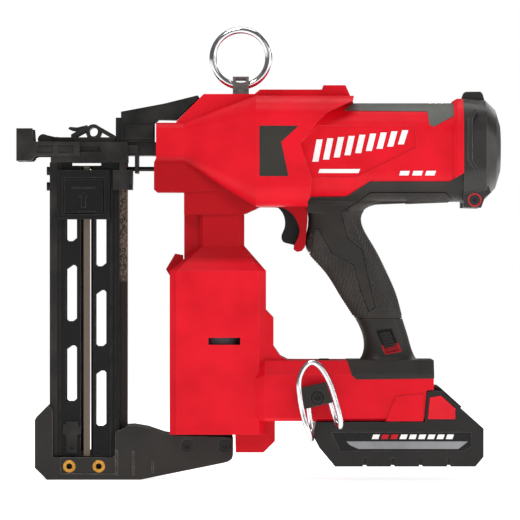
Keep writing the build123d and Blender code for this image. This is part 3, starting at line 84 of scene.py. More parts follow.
# ---- materials ------------------------------------------------------------------------
class Look:
    """One procedural material, laid out in the tool's own coordinates."""

    def __init__(self, name, metallic=0.0, specular=0.5, coat=0.0):
        self.material = bpy.data.materials.new(name)
        self.material.use_nodes = True
        self.tree = self.material.node_tree
        self.shader = self.tree.nodes["Principled BSDF"]
        self.shader.inputs["Metallic"].default_value = metallic
        self.shader.inputs["Specular IOR Level"].default_value = specular
        self.shader.inputs["Coat Weight"].default_value = coat
        self.shader.inputs["Coat Roughness"].default_value = 0.25
        self.place = self.add("ShaderNodeTexCoord").outputs["Object"]
        split = self.add("ShaderNodeSeparateXYZ", Vector=self.place)
        self.x, self.y, self.z = split.outputs

    def add(self, kind, **inputs):
        node = self.tree.nodes.new(kind)
        for name, value in inputs.items():
            self.put(node.inputs[name.replace("_", " ")], value)
        return node

    def put(self, socket, value):
        if isinstance(value, bpy.types.NodeSocket):
            self.tree.links.new(value, socket)
        else:
            socket.default_value = value

    def math(self, operation, first, second=0.0):
        node = self.tree.nodes.new("ShaderNodeMath")
        node.operation = operation
        self.put(node.inputs[0], first)
        self.put(node.inputs[1], second)
        return node.outputs[0]

    def band(self, value, low, high, out_low=0.0, out_high=1.0):
        """value carried from low..high to out_low..out_high, and held at the ends."""
        node = self.tree.nodes.new("ShaderNodeMapRange")
        self.put(node.inputs["Value"], value)
        node.inputs["From Min"].default_value = low
        node.inputs["From Max"].default_value = high
        node.inputs["To Min"].default_value = out_low
        node.inputs["To Max"].default_value = out_high
        return node.outputs["Result"]

    def noise(self, scale, detail=3.0, stretch=(1.0, 1.0, 1.0)):
        mapping = self.add("ShaderNodeMapping", Vector=self.place)
        mapping.inputs["Scale"].default_value = stretch
        node = self.add("ShaderNodeTexNoise", Vector=mapping.outputs["Vector"])
        node.inputs["Scale"].default_value = scale
        node.inputs["Detail"].default_value = detail
        return node.outputs["Fac"]

    def mix(self, first, second, factor):
        node = self.tree.nodes.new("ShaderNodeMix")
        node.data_type = "RGBA"
        self.put(node.inputs["Factor"], factor)
        self.put(node.inputs[6], first)
        self.put(node.inputs[7], second)
        return node.outputs[2]

    def soft_normal(self, radius):
        node = self.tree.nodes.new("ShaderNodeBevel")
        node.samples = 4
        node.inputs["Radius"].default_value = radius
        return node.outputs["Normal"]

    def edges(self, normal):
        """1 on outer and inner edges, 0 on open faces."""
        geometry = self.tree.nodes.new("ShaderNodeNewGeometry")
        node = self.tree.nodes.new("ShaderNodeVectorMath")
        node.operation = "DOT_PRODUCT"
        self.put(node.inputs[0], normal)
        self.put(node.inputs[1], geometry.outputs["Normal"])
        return self.band(node.outputs["Value"], 0.995, 0.86)

    def bump(self, height, depth, normal):
        node = self.tree.nodes.new("ShaderNodeBump")
        node.inputs["Distance"].default_value = depth
        self.put(node.inputs["Height"], height)
        self.put(node.inputs["Normal"], normal)
        return node.outputs["Normal"]

    def near_line(self, value, at, half_width, blur):
        """1 where value is within half_width of at."""
        distance = self.math("ABSOLUTE", self.math("SUBTRACT", value, at))
        return self.band(distance, half_width + blur, half_width)

    def finish(self, colour, roughness, normal):
        self.put(self.shader.inputs["Base Color"], colour)
        self.put(self.shader.inputs["Roughness"], roughness)
        self.put(self.shader.inputs["Normal"], normal)
        return self.material


def moulded(name, main, deep, light, rough=0.42, grain=2600.0, depth=0.02 * MM, seam=False,
            coat=0.0, specular=0.22, soft=EDGE_SOFT, recess=None):
    """Moulded plastic or rubber: cloudy tone, fine grain, painted highlight in patches on the edges,
    parting line.
    """
    look = Look(name, specular=specular, coat=coat)
    normal = look.soft_normal(soft)
    cloud = look.noise(38.0, 4.0)
    tone = look.mix(linear(deep), linear(main), look.band(cloud, 0.32, 0.62))
    # painted highlight: the pale colour is laid in patches along outer and inner edges
    painted_edge_highlight = look.math("MULTIPLY", look.edges(normal), look.band(look.noise(210.0), 0.35, 0.6, 0.25, 0.8))
    tone = look.mix(tone, linear(light), painted_edge_highlight)
    fine = look.noise(grain, 2.0)
    normal = look.bump(fine, depth, normal)
    if recess:
        # painted shade: the neck and the block under the nose lie deep between the housing's shoulders,
        # so the recess colour darkens them as shade
        reach = look.math("ABSOLUTE", look.y)
        painted_shade_mask = look.math("MULTIPLY", look.band(reach, 26 * MM, 22 * MM),
                           look.band(look.z, 227 * MM, 221 * MM))
        tone = look.mix(tone, linear(recess), look.math("MULTIPLY", painted_shade_mask, 0.85))
    if seam:
        groove = look.near_line(look.y, 0.0, 0.1 * MM, 0.12 * MM)
        tone = look.mix(tone, linear("120606"), groove)
        normal = look.bump(look.math("SUBTRACT", 1.0, groove), 0.2 * MM, normal)
    smudge = look.noise(90.0, 5.0)
    roughness = look.band(smudge, 0.3, 0.7, rough - 0.07, rough + 0.08)
    return look.finish(tone, roughness, normal)


def coated_steel(name, main, worn_and_highlit, rough=0.45, wear=0.7, grain=1500.0):
    """Black coated or phosphated steel with paler edges: partly bare metal starting to show, partly
    painted highlight.
    """
    look = Look(name, specular=0.3)
    normal = look.soft_normal(0.35 * MM)
    cloud = look.noise(60.0, 5.0)
    tone = look.mix(linear(main), linear(worn_and_highlit), look.band(cloud, 0.4, 0.95, 0.0, 0.35))
    # paler edges: partly bare metal wear, partly painted highlight; the wear value sets how strong both
    # are
    wear_and_highlight_speckle = look.band(look.noise(420.0, 5.0), 0.42, 0.62, 0.1, wear)
    tone = look.mix(tone, linear(worn_and_highlit), look.math("MULTIPLY", look.edges(normal), wear_and_highlight_speckle))
    normal = look.bump(look.noise(grain, 3.0), 0.03 * MM, normal)
    roughness = look.band(cloud, 0.3, 0.7, rough - 0.1, rough + 0.12)
    return look.finish(tone, roughness, normal)


def bare_metal(name, main, deep, rough=0.28, brush=(1.0, 1.0, 1.0), scale=300.0, depth=0.01 * MM):
    """Bright metal; brush stretches its streaks along one axis."""
    look = Look(name, metallic=1.0)
    normal = look.soft_normal(0.25 * MM)
    streaks = look.noise(scale, 6.0, brush)
    tone = look.mix(linear(deep), linear(main), look.band(streaks, 0.3, 0.65))
    roughness = look.band(streaks, 0.25, 0.75, rough - 0.08, rough + 0.1)
    normal = look.bump(streaks, depth, normal)
    return look.finish(tone, roughness, normal)


def wear_strip():
    """Warm grey guide strip, and a rear rail heat-mottled above and black towards the shoe."""
    look = Look("wear_strip", metallic=0.75)
    normal = look.soft_normal(0.2 * MM)
    mottle = look.noise(900.0, 5.0)
    low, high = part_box("magazine_rails")
    rear = look.band(look.x, low.x + 0.62 * (high.x - low.x), low.x + 0.64 * (high.x - low.x))
    spots = look.mix(linear("2E2422"), linear("7E6C60"), look.band(mottle, 0.42, 0.58))
    plain = look.mix(linear("655A50"), linear("74685D"), mottle)
    tone = look.mix(plain, spots, rear)
    tone = look.mix(tone, linear("94887C"), look.math("MULTIPLY", look.edges(normal), 0.7))
    rail_end = low.z + 0.6 * (high.z - low.z)
    black = look.band(look.z, rail_end - 2 * MM, rail_end, 1.0, 0.0)
    tone = look.mix(tone, linear("302A28"), look.math("MULTIPLY", black, rear))
    normal = look.bump(mottle, 0.03 * MM, normal)
    return look.finish(tone, look.band(mottle, 0.3, 0.7, 0.35, 0.6), normal)


def lock_tray():
    """Black tray of the lock switch with a red floor at its lower end."""
    look = Look("lock_tray", specular=0.25)
    low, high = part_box("lock_frame")
    floor_top = low.z + 0.32 * (high.z - low.z)
    normal = look.soft_normal(0.2 * MM)
    grain = look.noise(1500.0)
    dark = look.mix(linear("141211"), linear("23201F"), grain)
    red = look.mix(linear("9E0C18"), linear("C11321"), grain)
    lower = look.band(look.math("ADD", look.z, look.math("MULTIPLY", look.x, -0.15)),
                      floor_top - 0.15 * low.x, floor_top - 0.15 * low.x - 0.2 * MM)
    normal = look.bump(grain, 0.02 * MM, normal)
    return look.finish(look.mix(dark, red, lower), look.band(grain, 0.3, 0.7, 0.35, 0.5), normal)


def ringed_screw():
    """Black screw head inside a red collar, told apart by distance from the screw's axis."""
    look = Look("ringed_screw", metallic=0.0)
    centre = middle("cap_screws")
    normal = look.soft_normal(0.2 * MM)
    dx = look.math("SUBTRACT", look.x, centre.x)
    dz = look.math("SUBTRACT", look.z, centre.z)
    square = look.math("ADD", look.math("MULTIPLY", dx, dx), look.math("MULTIPLY", dz, dz))
    radius = look.math("SQRT", square)
    collar = look.band(radius, 3.4 * MM, 3.5 * MM)
    grain = look.noise(1500.0)
    dark = look.mix(linear("0B0B0B"), linear("242424"), grain)
    red = look.mix(linear("8E0D18"), linear("B8111F"), grain)
    normal = look.bump(grain, 0.02 * MM, normal)
    return look.finish(look.mix(dark, red, collar), look.band(grain, 0.3, 0.7, 0.3, 0.5), normal)


def laminated():
    """Stack of thin iron sheets with copper windings showing near the bore."""
    look = Look("laminated", metallic=0.9)
    centre = middle("stator")
    normal = look.soft_normal(0.2 * MM)
    dx = look.math("SUBTRACT", look.x, centre.x)
    square = look.math("ADD", look.math("MULTIPLY", dx, dx), look.math("MULTIPLY", look.y, look.y))
    radius = look.math("SQRT", square)
    layers = look.math("SINE", look.math("MULTIPLY", look.z, 2 * pi / (0.5 * MM)))
    iron = look.mix(linear("3C3C40"), linear("8A8A90"), look.band(layers, -1.0, 1.0))
    copper = look.mix(linear("7A3312"), linear("C8713A"), look.noise(900.0))
    tone = look.mix(copper, iron, look.band(radius, 17.0 * MM, 18.0 * MM))
    normal = look.bump(layers, 0.05 * MM, normal)
    return look.finish(tone, look.band(look.noise(300.0), 0.3, 0.7, 0.35, 0.55), normal)


def circuit_board():
    look = Look("circuit_board", coat=0.3)
    normal = look.soft_normal(0.2 * MM)
    tracks = look.add("ShaderNodeTexBrick", Vector=look.place)
    tracks.inputs["Scale"].default_value = 420.0
    tracks.inputs["Color1"].default_value = linear("0C4A2A")
    tracks.inputs["Color2"].default_value = linear("0A3A22")
    tracks.inputs["Mortar"].default_value = linear("3C7A3A")
    normal = look.bump(tracks.outputs["Fac"], 0.05 * MM, normal)
    return look.finish(tracks.outputs["Color"], look.band(look.noise(200.0), 0.3, 0.7, 0.3, 0.5), normal)


def cell_wrap():
    """Shrink sleeve of the cells with a bare end ring."""
    look = Look("cell_wrap", coat=0.4)
    normal = look.soft_normal(0.3 * MM)
    low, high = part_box("battery_cells")
    reach = look.math("ABSOLUTE", look.y)
    tint = look.mix(linear("1E7F86"), linear("2AA3A8"), look.noise(120.0))
    end = look.band(reach, high.y - 1.2 * MM, high.y - 1.0 * MM)
    tone = look.mix(tint, linear("C8C8C4"), end)
    normal = look.bump(look.noise(600.0), 0.03 * MM, normal)
    return look.finish(tone, look.band(look.noise(150.0), 0.3, 0.7, 0.25, 0.45), normal)


# the housing's recess colour is painted shade on the neck and the block under the nose
RED = moulded("red_shell", "DA1124", "CA0C1D", "EC4854", rough=0.44, seam=True, specular=0.14,
            recess="9C040E")
RED_PART = moulded("red_part", "D81325", "C70E1F", "E5454F", rough=0.4)
DEEP_RED = moulded("deep_red", "8E0D18", "74090F", "B8323C", rough=0.45)
HANDLE = moulded("dark_nylon", "302D2A", "272523", "645F5A", rough=0.5, seam=True, specular=0.22)
GRIP = moulded("grip_rubber", "393633", "2C2A28", "4C4845", rough=0.62, grain=1800.0,
               depth=0.05 * MM, specular=0.2)
SCALE = moulded("scale_rubber", "3E3B38", "322F2D", "55514D", rough=0.5, grain=1800.0,
                depth=0.02 * MM, specular=0.3, soft=0.06 * MM)
LINE = moulded("outline_rubber", "131211", "0D0C0C", "1E1C1B", rough=0.6)
CAP = moulded("cap_nylon", "2A2826", "22201F", "8C8986", rough=0.38, specular=0.4)
TOP_GREY = moulded("grey_overmould", "5E605C", "525550", "777A74", rough=0.6, grain=1500.0)
INLAY = moulded("inlay_rubber", "32302B", "292824", "56544C", rough=0.6)
BLACK = moulded("black_nylon", "151413", "0F0E0E", "464340", rough=0.42, specular=0.25)
PACK = moulded("pack_nylon", "1B1918", "131211", "6A6662", rough=0.36, specular=0.3)
SHOE = moulded("shoe_nylon", "292623", "201E1C", "8A827A", rough=0.4, specular=0.28, soft=0.7 * MM)
MAGAZINE = moulded("magazine_nylon", "121111", "0C0B0B", "5A5652", rough=0.42, specular=0.2)
PRINT = moulded("white_print", "F2F0F0", "E2DFDF", "FFFFFF", rough=0.35, soft=0.15 * MM)
STEEL_BLACK = coated_steel("black_steel", "110F0E", "5E5852")
SHIELD = coated_steel("shield_coat", "090807", "45403B", rough=0.42)
SCREW = coated_steel("black_screw", "0A0A0A", "55524F", rough=0.34, wear=0.8)
ZINC = coated_steel("zinc_strap", "64615E", "918E8B", rough=0.42, wear=0.6)
STRIP = coated_steel("front_strip_coat", "121010", "504944", rough=0.42)
CHROME = bare_metal("chrome_wire", "E8E8EA", "B9BABD", rough=0.1, scale=120.0)
HOOK = bare_metal("hook_wire", "E6E6E8", "C0C1C4", rough=0.16, scale=200.0)
BRASS = bare_metal("brass_ring", "DCA24A", "A8742C", rough=0.26, scale=500.0)
GEAR = bare_metal("gear_steel", "A6A6A8", "6C6C70", rough=0.3, brush=(1.0, 1.0, 6.0))
GROUND = bare_metal("ground_steel", "A8A8AC", "7C7C80", rough=0.24, brush=(0.15, 4.0, 4.0))
CAST = bare_metal("cast_aluminium", "9A9C9E", "707274", rough=0.5, scale=900.0, depth=0.05 * MM)
DRAWN = bare_metal("drawn_aluminium", "B4B6B8", "909294", rough=0.3, brush=(0.1, 3.0, 3.0))
SPRING = bare_metal("spring_wire", "B8B8B4", "7A7A78", rough=0.25)
WEAR = wear_strip()
RINGED = ringed_screw()
LOCK = lock_tray()
IRON = laminated()
BOARD = circuit_board()
WRAP = cell_wrap()

CAD_LOOKS = [
    (RED, ["housing_left", "housing_right"]),
    (RED_PART, ["release_left", "release_right"]),
    (DEEP_RED, ["depth_wheel"]),
    (LOCK, ["lock_frame"]),
    (HANDLE, ["handle_left", "handle_right", "hook_clamp", "control_panel"]),
    (GRIP, ["grip_left", "grip_right"]),
    (CAP, ["rear_cap"]),
    (RINGED, ["cap_screws"]),
    (TOP_GREY, ["top_inlay"]),
    (INLAY, ["side_inlays"]),
    (PRINT, ["badges"]),
    (ZINC, ["hang_strap"]),
    (CHROME, ["hang_ring"]),
    (BLACK, ["trigger", "trigger_switch", "lock_switch", "mode_button", "bumper"]),
    (HOOK, ["belt_hook"]),
    (SCREW, ["socket_screws", "housing_screws"]),
    (STEEL_BLACK, ["nose_body", "nose_door", "latch_lever", "work_contact", "contact_link",
                   "magazine_latch", "tongue", "load_catch"]),
    (SPRING, ["contact_spring", "pusher_spring"]),
    (SHIELD, ["top_shield"]),
    (STRIP, ["front_strip"]),
    (MAGAZINE, ["magazine_walls", "pusher"]),
    (WEAR, ["magazine_rails"]),
    (SHOE, ["magazine_shoe"]),
    (BRASS, ["brass_inserts"]),
    (PACK, ["battery_case"]),
    (WRAP, ["battery_cells"]),
    (BOARD, ["controller"]),
    (IRON, ["stator"]),
    (GEAR, ["rotor", "bearings", "ring_gear", "carrier", "planet_a", "planet_b", "planet_c",
            "lifter_wheel"]),
    (GROUND, ["driver_blade"]),
    (CAST, ["drive_frame"]),
    (DRAWN, ["pressure_tank", "cylinder"]),
]
for look, names in CAD_LOOKS:
    for name in names:
        mesh = NODES[name].data
        mesh.materials.clear()
        mesh.materials.append(look)


# ---- mesh helpers --------------------------------------------------------------------
def piece(name, mesh_builder, material, body):
    """A new mesh object from a filled bmesh, riding on a body."""
    mesh_builder.normal_update()
    mesh = bpy.data.meshes.new(name)
    mesh_builder.to_mesh(mesh)
    mesh_builder.free()
    mesh.materials.append(material)
    made = bpy.data.objects.new(name, mesh)
    bpy.context.scene.collection.objects.link(made)
    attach(made, body)
    return made


def search_tree(names):
    """One ray-casting tree over several CAD nodes."""
    points = []
    faces = []
    for name in names:
        mesh = NODES[name].data
        start = len(points)
        points.extend(v.co.copy() for v in mesh.vertices)
        faces.extend([start + i for i in p.vertices] for p in mesh.polygons)
    return BVHTree.FromPolygons(points, faces)


def inside(outline, x, z):
    """Whether a side-view point lies in an outline given in millimetres."""
    hits = False
    x, z = x / MM, z / MM
    for (x0, z0), (x1, z1) in zip(outline, outline[1:] + outline[:1]):
        if (z0 > z) != (z1 > z) and x < x0 + (z - z0) * (x1 - x0) / (z1 - z0):
            hits = not hits
    return hits


def plate(build, outline, y_low, y_high):
    """Adds a thin plate with a side-view outline in millimetres."""
    low = [build.verts.new((x * MM, y_low, z * MM)) for x, z in outline]
    high = [build.verts.new((x * MM, y_high, z * MM)) for x, z in outline]
    build.faces.new(low)
    build.faces.new(list(reversed(high)))
    for i in range(len(outline)):
        j = (i + 1) % len(outline)
        build.faces.new([low[i], high[i], high[j], low[j]])


# ---- grip scales ------------------------------------------------------------------------
HANDLE_TREE = search_tree(["handle_left", "handle_right", "grip_left", "grip_right"])
# side view of the smooth panel's edge, in millimetres, as the handle's rubber is cut round it
GRIP_LINE = [(151.9, 158.2), (153.4, 174.7), (156.4, 175.1), (165.5, 157.9), (180.9, 149.5),
             (185.1, 134.1), (191.4, 117.0), (196.3, 120.1), (193.5, 130.6), (190.0, 146.7),
             (187.2, 160.0), (176.7, 168.4), (172.3, 186.3), (184.0, 193.5), (192.4, 199.6),
             (244.6, 199.6), (249.1, 194.8)]
FRONT_ZONE = GRIP_LINE[1:7] + [(194.0, 118.0), (194.0, 113.4), (150.0, 113.4), (135.0, 150.0)]
REAR_ZONE = GRIP_LINE[7:13] + [(176.0, 190.8), (196.0, 190.8), (240.0, 113.4), (194.0, 113.4),
                               (194.0, 118.0)]
BARREL_ZONE = [(186.0, 190.0), (188.0, 196.4), (192.4, 199.0), (244.4, 199.0), (248.4, 194.8),
               (248.4, 188.0)]
GRIP_LOW = 113.8 * MM
GRIP_TOP = 190.0 * MM
BARREL_ROWS_START = 197.0 * MM
CAP_MARGIN = 7.0 * MM           # clear of the rear cap
FAR = 0.12                      # a ray starts this far out
OFF_SPLIT = 0.001               # a ray beside the split plane
ANGLES = 56


def handle_middle(z):
    """The middle of the handle at one height."""
    front = HANDLE_TREE.ray_cast(Vector((-1, OFF_SPLIT, z)), Vector((1, 0, 0)))[0]
    back = HANDLE_TREE.ray_cast(Vector((1, OFF_SPLIT, z)), Vector((-1, 0, 0)))[0]
    return Vector(((front.x + back.x) / 2, 0, z))


def walk(samples, step):
    """Points a step apart along a line of (point, normal) samples."""
    spaced = [samples[0]]
    run = 0.0
    for before, after in zip(samples, samples[1:]):
        length = (after[0] - before[0]).length
        while length > 0 and run + length >= step:
            share = (step - run) / length
            spaced.append((before[0].lerp(after[0], share), before[1].lerp(after[1], share)))
            before = spaced[-1]
            length = (after[0] - before[0]).length
            run = 0.0
        run += length
    return spaced


def wrap_row(centre, along, turn, sweep):
    """Surface samples round an axis: from direction along, turned towards turn."""
    samples = []
    for number in range(ANGLES + 1):
        angle = sweep * number / ANGLES
        away = along * cos(angle) + turn * sin(angle)
        spot, normal = HANDLE_TREE.ray_cast(centre + away * FAR, -away)[:2]
        if spot is not None:
            samples.append((spot, normal))
    return walk(samples, SCALE_STEP)


def scales(build, rows, zone):
    """A closed little pyramid on every second grid point that lies in the zone."""
    def find(i, j):
        if 0 <= i < len(rows) and 0 <= j < len(rows[i]):
            spot, normal = rows[i][j]
            if inside(zone, spot.x, spot.z):
                return spot, normal
        return None
    for i in range(len(rows)):
        for j in range(len(rows[i])):
            if (i + j) % 2:
                continue
            found = [find(i, j), find(i - 1, j), find(i, j + 1), find(i + 1, j), find(i, j - 1)]
            if None in found:
                continue
            centre, normal = found[0]
            corners = [spot - way * SCALE_SINK for spot, way in found[1:]]
            spread = max((corner - centre).length for corner in corners)
            turned = min(way.dot(normal) for spot, way in found[1:])
            if spread > SCALE_SPREAD or turned < SCALE_TURN:
                continue
            base = [build.verts.new(corner) for corner in corners]
            tip = build.verts.new(centre + normal.normalized() * SCALE_RISE)
            for k in range(4):
                build.faces.new([base[k], base[(k + 1) % 4], tip])
            build.faces.new(list(reversed(base)))


def grip_scales():
    """Scales on the front, the rear and the barrel part of both grips."""
    row_count = int((GRIP_TOP - GRIP_LOW) / SCALE_ROW)
    heights = [GRIP_LOW + SCALE_ROW * i for i in range(row_count)]
    for side, word in zip(SIDES, ("left", "right")):
        turn = Vector((0, side, 0))
        front = [wrap_row(handle_middle(z), Vector((-1, 0, 0)), turn, radians(115)) for z in heights]
        rear = [wrap_row(handle_middle(z), Vector((1, 0, 0)), turn, radians(110)) for z in heights]
        build = bmesh.new()
        scales(build, front, FRONT_ZONE)
        scales(build, rear, REAR_ZONE)
        low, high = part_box("rear_cap")
        axis_z = (low.z + high.z) / 2
        count = int((low.x - CAP_MARGIN - BARREL_ROWS_START) / SCALE_ROW)
        places = [BARREL_ROWS_START + SCALE_ROW * i for i in range(count)]
        under = [wrap_row(Vector((x, 0, axis_z)), Vector((0, 0, -1)), turn, radians(70))
                 for x in places]
        scales(build, under, BARREL_ZONE)
        bmesh.ops.recalc_face_normals(build, faces=build.faces[:])
        piece("grip_scales_" + word, build, SCALE, "tool")


# ---- outline beads on the handle ------------------------------------------------------------
LINE_STEP = 1.0 * MM
LINE_SINK = 0.1 * MM


def on_surface(x, z, side, lift):
    """The handle's surface point at x and z, lifted off it."""
    start = Vector((x, side, z))
    spot, normal = HANDLE_TREE.ray_cast(start, Vector((0, -side, 0)))[:2]
    return None if spot is None else spot + normal * lift


def bead_path(outline, side):
    """The outline laid on one side of the handle, in short steps."""
    points = []
    for (x0, z0), (x1, z1) in zip(outline, outline[1:]):
        count = max(1, int(hypot(x1 - x0, z1 - z0) * MM / LINE_STEP))
        for number in range(count):
            share = number / count
            spot = on_surface((x0 + (x1 - x0) * share) * MM, (z0 + (z1 - z0) * share) * MM,
                              side, -LINE_SINK)
            if spot is not None:
                points.append(spot)
    return points


def tube(name, points, radius, material, body):
    """A round bead along points, as a mesh."""
    curve = bpy.data.curves.new(name, "CURVE")
    curve.dimensions = "3D"
    curve.bevel_depth = radius
    curve.bevel_resolution = 2
    curve.use_fill_caps = True
    spline = curve.splines.new("POLY")
    spline.points.add(len(points) - 1)
    for target, point in zip(spline.points, points):
        target.co = (*point, 1.0)
    holder = bpy.data.objects.new(name + "_line", curve)
    bpy.context.scene.collection.objects.link(holder)
    bpy.context.view_layer.update()
    mesh = bpy.data.meshes.new_from_object(holder)
    bpy.data.objects.remove(holder)
    mesh.materials.clear()
    mesh.materials.append(material)
    mesh.shade_smooth()
    made = bpy.data.objects.new(name, mesh)
    bpy.context.scene.collection.objects.link(made)
    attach(made, body)
    return made


def handle_lines():
    """The bead round the smooth panel, on both sides."""
    for side, word in zip(SIDES, ("left", "right")):
        path = bead_path(GRIP_LINE, side)
        tube("handle_line_" + word, path, LINE_RADIUS, LINE, "tool")


# ---- battery label -----------------------------------------------------------------------------
LABEL = [(166.4, 33.3), (171.8, 21.6), (178.0, 21.6), (255.6, 21.6), (261.4, 24.4), (261.4, 33.3)]
STRIPE = [(175.4, 27.6), (178.0, 25.0), (184.0, 22.4), (253.0, 22.4), (259.6, 27.6)]
LABEL_SKIN = 0.25 * MM
RECESS_DEPTH = 0.6 * MM         # of the pack's cheeks, where the label lies
OVERLAP = 0.05 * MM             # of one layer with the one under it
WHITE_BARS = (0, 3, 4, 5, 6, 7, 8)
RED_BARS = (1, 2)
GREY_FOIL = moulded("grey_foil", "8C8C8E", "77777A", "A8A8AA", rough=0.35, soft=0.1 * MM)
LABEL_FILM = moulded("label_film", "161515", "100F0F", "2A2928", rough=0.3, soft=0.1 * MM)
LABEL_RED = moulded("label_red", "C41220", "AE0E1B", "D8404B", rough=0.35, soft=0.1 * MM)


def slanted(x, z, width, height):
    """Outline of a bar that leans to the rear."""
    lean = 0.35 * height
    return [(x, z), (x + width, z), (x + width + lean, z + height), (x + lean, z + height)]


def label(side, word):
    """A film in the recess of the pack with a foil stripe and plain slanted bars."""
    face = abs(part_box("battery_case")[0].y) - RECESS_DEPTH

    def layer(name, outlines, level, material):
        build = bmesh.new()
        near = side * (face + LABEL_SKIN * (level - 1) - OVERLAP)
        far = side * (face + LABEL_SKIN * level)
        for outline in outlines:
            plate(build, outline, min(near, far), max(near, far))
        bmesh.ops.recalc_face_normals(build, faces=build.faces[:])
        piece(f"{name}_{word}", build, material, "battery")

    def bars(places):
        return [slanted(193.0 + 6.4 * place, 29.2, 4.6, 3.2) for place in places]

    layer("label_film", [LABEL], 1, LABEL_FILM)
    layer("label_stripe", [STRIPE], 2, GREY_FOIL)
    layer("label_bars", bars(WHITE_BARS), 2, PRINT)
    layer("label_red_bars", bars(RED_BARS), 2, LABEL_RED)


# ---- lights on the control panel ------------------------------------------------------------------
LENS_COUNT = 4
LENS_PITCH = 2.6 * MM
LENS_RADIUS = 0.85 * MM
LENS_RISE = 0.45 * MM
LENS_LEVELS = 4
LENS_SIDES = 16
LENS = moulded("lens_green", "3A6A48", "2C5438", "7AA888", rough=0.2, coat=0.5)


def panel_lenses():
    """Four small domed charge lights in the recess of the panel."""
    low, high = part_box("control_panel")
    x = low.x + 3.2 * MM
    base = high.z - 0.5 * MM
    turns = [2 * pi * t / LENS_SIDES for t in range(LENS_SIDES)]
    build = bmesh.new()
    for number in range(LENS_COUNT):
        y = (number - (LENS_COUNT - 1) / 2) * LENS_PITCH
        rings = []
        for level in range(LENS_LEVELS):
            angle = level / LENS_LEVELS * pi / 2
            radius = LENS_RADIUS * cos(angle)
            z = base + LENS_RISE * sin(angle)
            rings.append([build.verts.new((x + radius * cos(a), y + radius * sin(a), z)) for a in turns])
        for lower, upper in zip(rings, rings[1:]):
            for t in range(LENS_SIDES):
                after = (t + 1) % LENS_SIDES
                build.faces.new([lower[t], lower[after], upper[after], upper[t]])
        build.faces.new(rings[-1])
        build.faces.new(list(reversed(rings[0])))
    bmesh.ops.recalc_face_normals(build, faces=build.faces[:])
    piece("panel_lenses", build, LENS, "tool")


# ---- grub screws sunk in the brass inserts ---------------------------------------------------------
INSERT_SPOTS = [(-17.0, 9.4), (3.6, 9.4)]
GRUB_RADIUS = 2.05
GRUB_REACH = 9.0
SOCKET_RADIUS = 1.15
SOCKET_DEPTH = 2.0
ROUND_SIDES = 24
MERGE_DISTANCE = 0.001 * MM


def grub_screws():
    """A black set screw in each insert, with a round socket in both ends."""
    build = bmesh.new()

    def ring(x, z, radius, y):
        angles = [2 * pi * t / ROUND_SIDES for t in range(ROUND_SIDES)]
        return [build.verts.new(((x + radius * cos(a)) * MM, y * MM, (z + radius * sin(a)) * MM))
                for a in angles]

    for x, z in INSERT_SPOTS:
        for side in SIDES:
            turns = [ring(x, z, GRUB_RADIUS, 0.0),
                     ring(x, z, GRUB_RADIUS, side * GRUB_REACH),
                     ring(x, z, SOCKET_RADIUS, side * GRUB_REACH),
                     ring(x, z, SOCKET_RADIUS, side * (GRUB_REACH - SOCKET_DEPTH))]
            for near, far in zip(turns, turns[1:]):
                for t in range(ROUND_SIDES):
                    after = (t + 1) % ROUND_SIDES
                    build.faces.new([near[t], near[after], far[after], far[t]])
            build.faces.new(turns[-1])
    bmesh.ops.remove_doubles(build, verts=build.verts[:], dist=MERGE_DISTANCE)
    bmesh.ops.recalc_face_normals(build, faces=build.faces[:])
    piece("grub_screws", build, SCREW, "tool")


grip_scales()
handle_lines()
grub_screws()
for side, word in zip(SIDES, ("left", "right")):
    label(side, word)
panel_lenses()


# ---- floor, light and camera ------------------------------------------------------------------------
FLOOR_HALF = 40.0
FLOOR_GAP = 0.2 * MM
FLOOR_TONE = 0.86
FLOOR_GLOW = 0.885
WORLD_SHOWN = 1.0
WORLD_LIT = 0.16


def make_floor():
    """Wide white paper just under the tool."""
    look = bpy.data.materials.new("floor_paper")
    look.use_nodes = True
    shader = look.node_tree.nodes["Principled BSDF"]
    shader.inputs["Base Color"].default_value = (FLOOR_TONE, FLOOR_TONE, FLOOR_TONE, 1)
    shader.inputs["Roughness"].default_value = 0.9
    shader.inputs["Emission Color"].default_value = (1, 1, 1, 1)
    shader.inputs["Emission Strength"].default_value = FLOOR_GLOW
    build = bmesh.new()
    corners = [(-1, -1), (1, -1), (1, 1), (-1, 1)]
    build.faces.new([build.verts.new((FLOOR_HALF * x, FLOOR_HALF * y, -FLOOR_GAP)) for x, y in corners])
    mesh = bpy.data.meshes.new("floor")
    build.to_mesh(mesh)
    build.free()
    mesh.materials.append(look)
    floor = bpy.data.objects.new("floor", mesh)
    bpy.context.scene.collection.objects.link(floor)


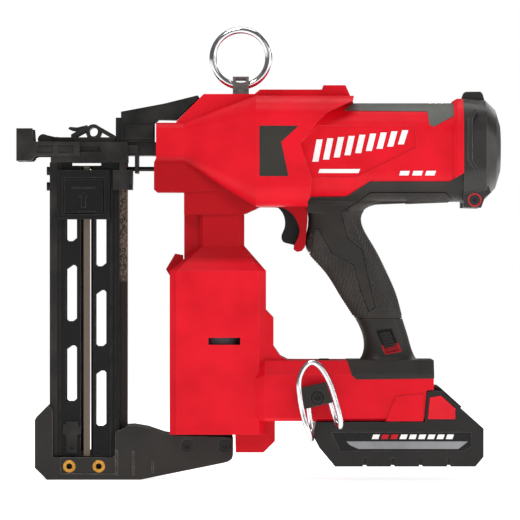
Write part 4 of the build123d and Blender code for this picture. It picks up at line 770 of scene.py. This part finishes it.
def make_world():
    """White behind the tool, with a weaker white that lights it."""
    world = bpy.data.worlds.new("studio")
    bpy.context.scene.world = world
    world.use_nodes = True
    tree = world.node_tree
    shown = tree.nodes["Background"]
    shown.inputs["Color"].default_value = (1, 1, 1, 1)
    shown.inputs["Strength"].default_value = WORLD_SHOWN
    lit = tree.nodes.new("ShaderNodeBackground")
    lit.inputs["Color"].default_value = (1, 1, 1, 1)
    lit.inputs["Strength"].default_value = WORLD_LIT
    path = tree.nodes.new("ShaderNodeLightPath")
    mix = tree.nodes.new("ShaderNodeMixShader")
    tree.links.new(path.outputs["Is Camera Ray"], mix.inputs[0])
    tree.links.new(lit.outputs[0], mix.inputs[1])
    tree.links.new(shown.outputs[0], mix.inputs[2])
    tree.links.new(mix.outputs[0], tree.nodes["World Output"].inputs["Surface"])


def softbox(name, place, target, size, power):
    """A rectangular light turned to the target."""
    light = bpy.data.lights.new(name, "AREA")
    light.shape = "RECTANGLE"
    light.size, light.size_y = size
    light.energy = power
    holder = bpy.data.objects.new(name, light)
    holder.location = place
    holder.rotation_euler = (Vector(target) - Vector(place)).to_track_quat("-Z", "Y").to_euler()
    bpy.context.scene.collection.objects.link(holder)


low, high = Vector(CAD_BOX[0]), Vector(CAD_BOX[1])
AIM = Vector(((low.x + high.x) / 2 + VIEW_SHIFT_X, 0, (low.z + high.z) / 2 + VIEW_SHIFT_Z))
make_floor()
make_world()
softbox("key", (-0.35, -1.2, 1.75), AIM, (0.8, 0.6), 18.5)
softbox("fill", (1.1, -1.5, 0.5), AIM, (0.7, 1.0), 2.8)
softbox("top", (0.1, 0.15, 1.5), AIM, (1.2, 0.6), 9.0)
softbox("rim", (0.9, 1.2, 0.9), AIM, (0.8, 0.8), 5.0)
softbox("side", (1.3, -0.35, 0.35), AIM, (0.25, 0.9), 3.0)

camera_data = bpy.data.cameras.new("camera")
camera_data.sensor_width = SENSOR_WIDTH
camera_data.lens = SENSOR_WIDTH * CAMERA_DISTANCE / VIEW_WIDTH
camera_data.clip_end = 100.0
camera = bpy.data.objects.new("camera", camera_data)
camera.location = (AIM.x, -CAMERA_DISTANCE, AIM.z)
camera.rotation_euler = (radians(90), 0, 0)
bpy.context.scene.collection.objects.link(camera)
bpy.context.scene.camera = camera
bpy.context.scene.view_settings.view_transform = "Standard"
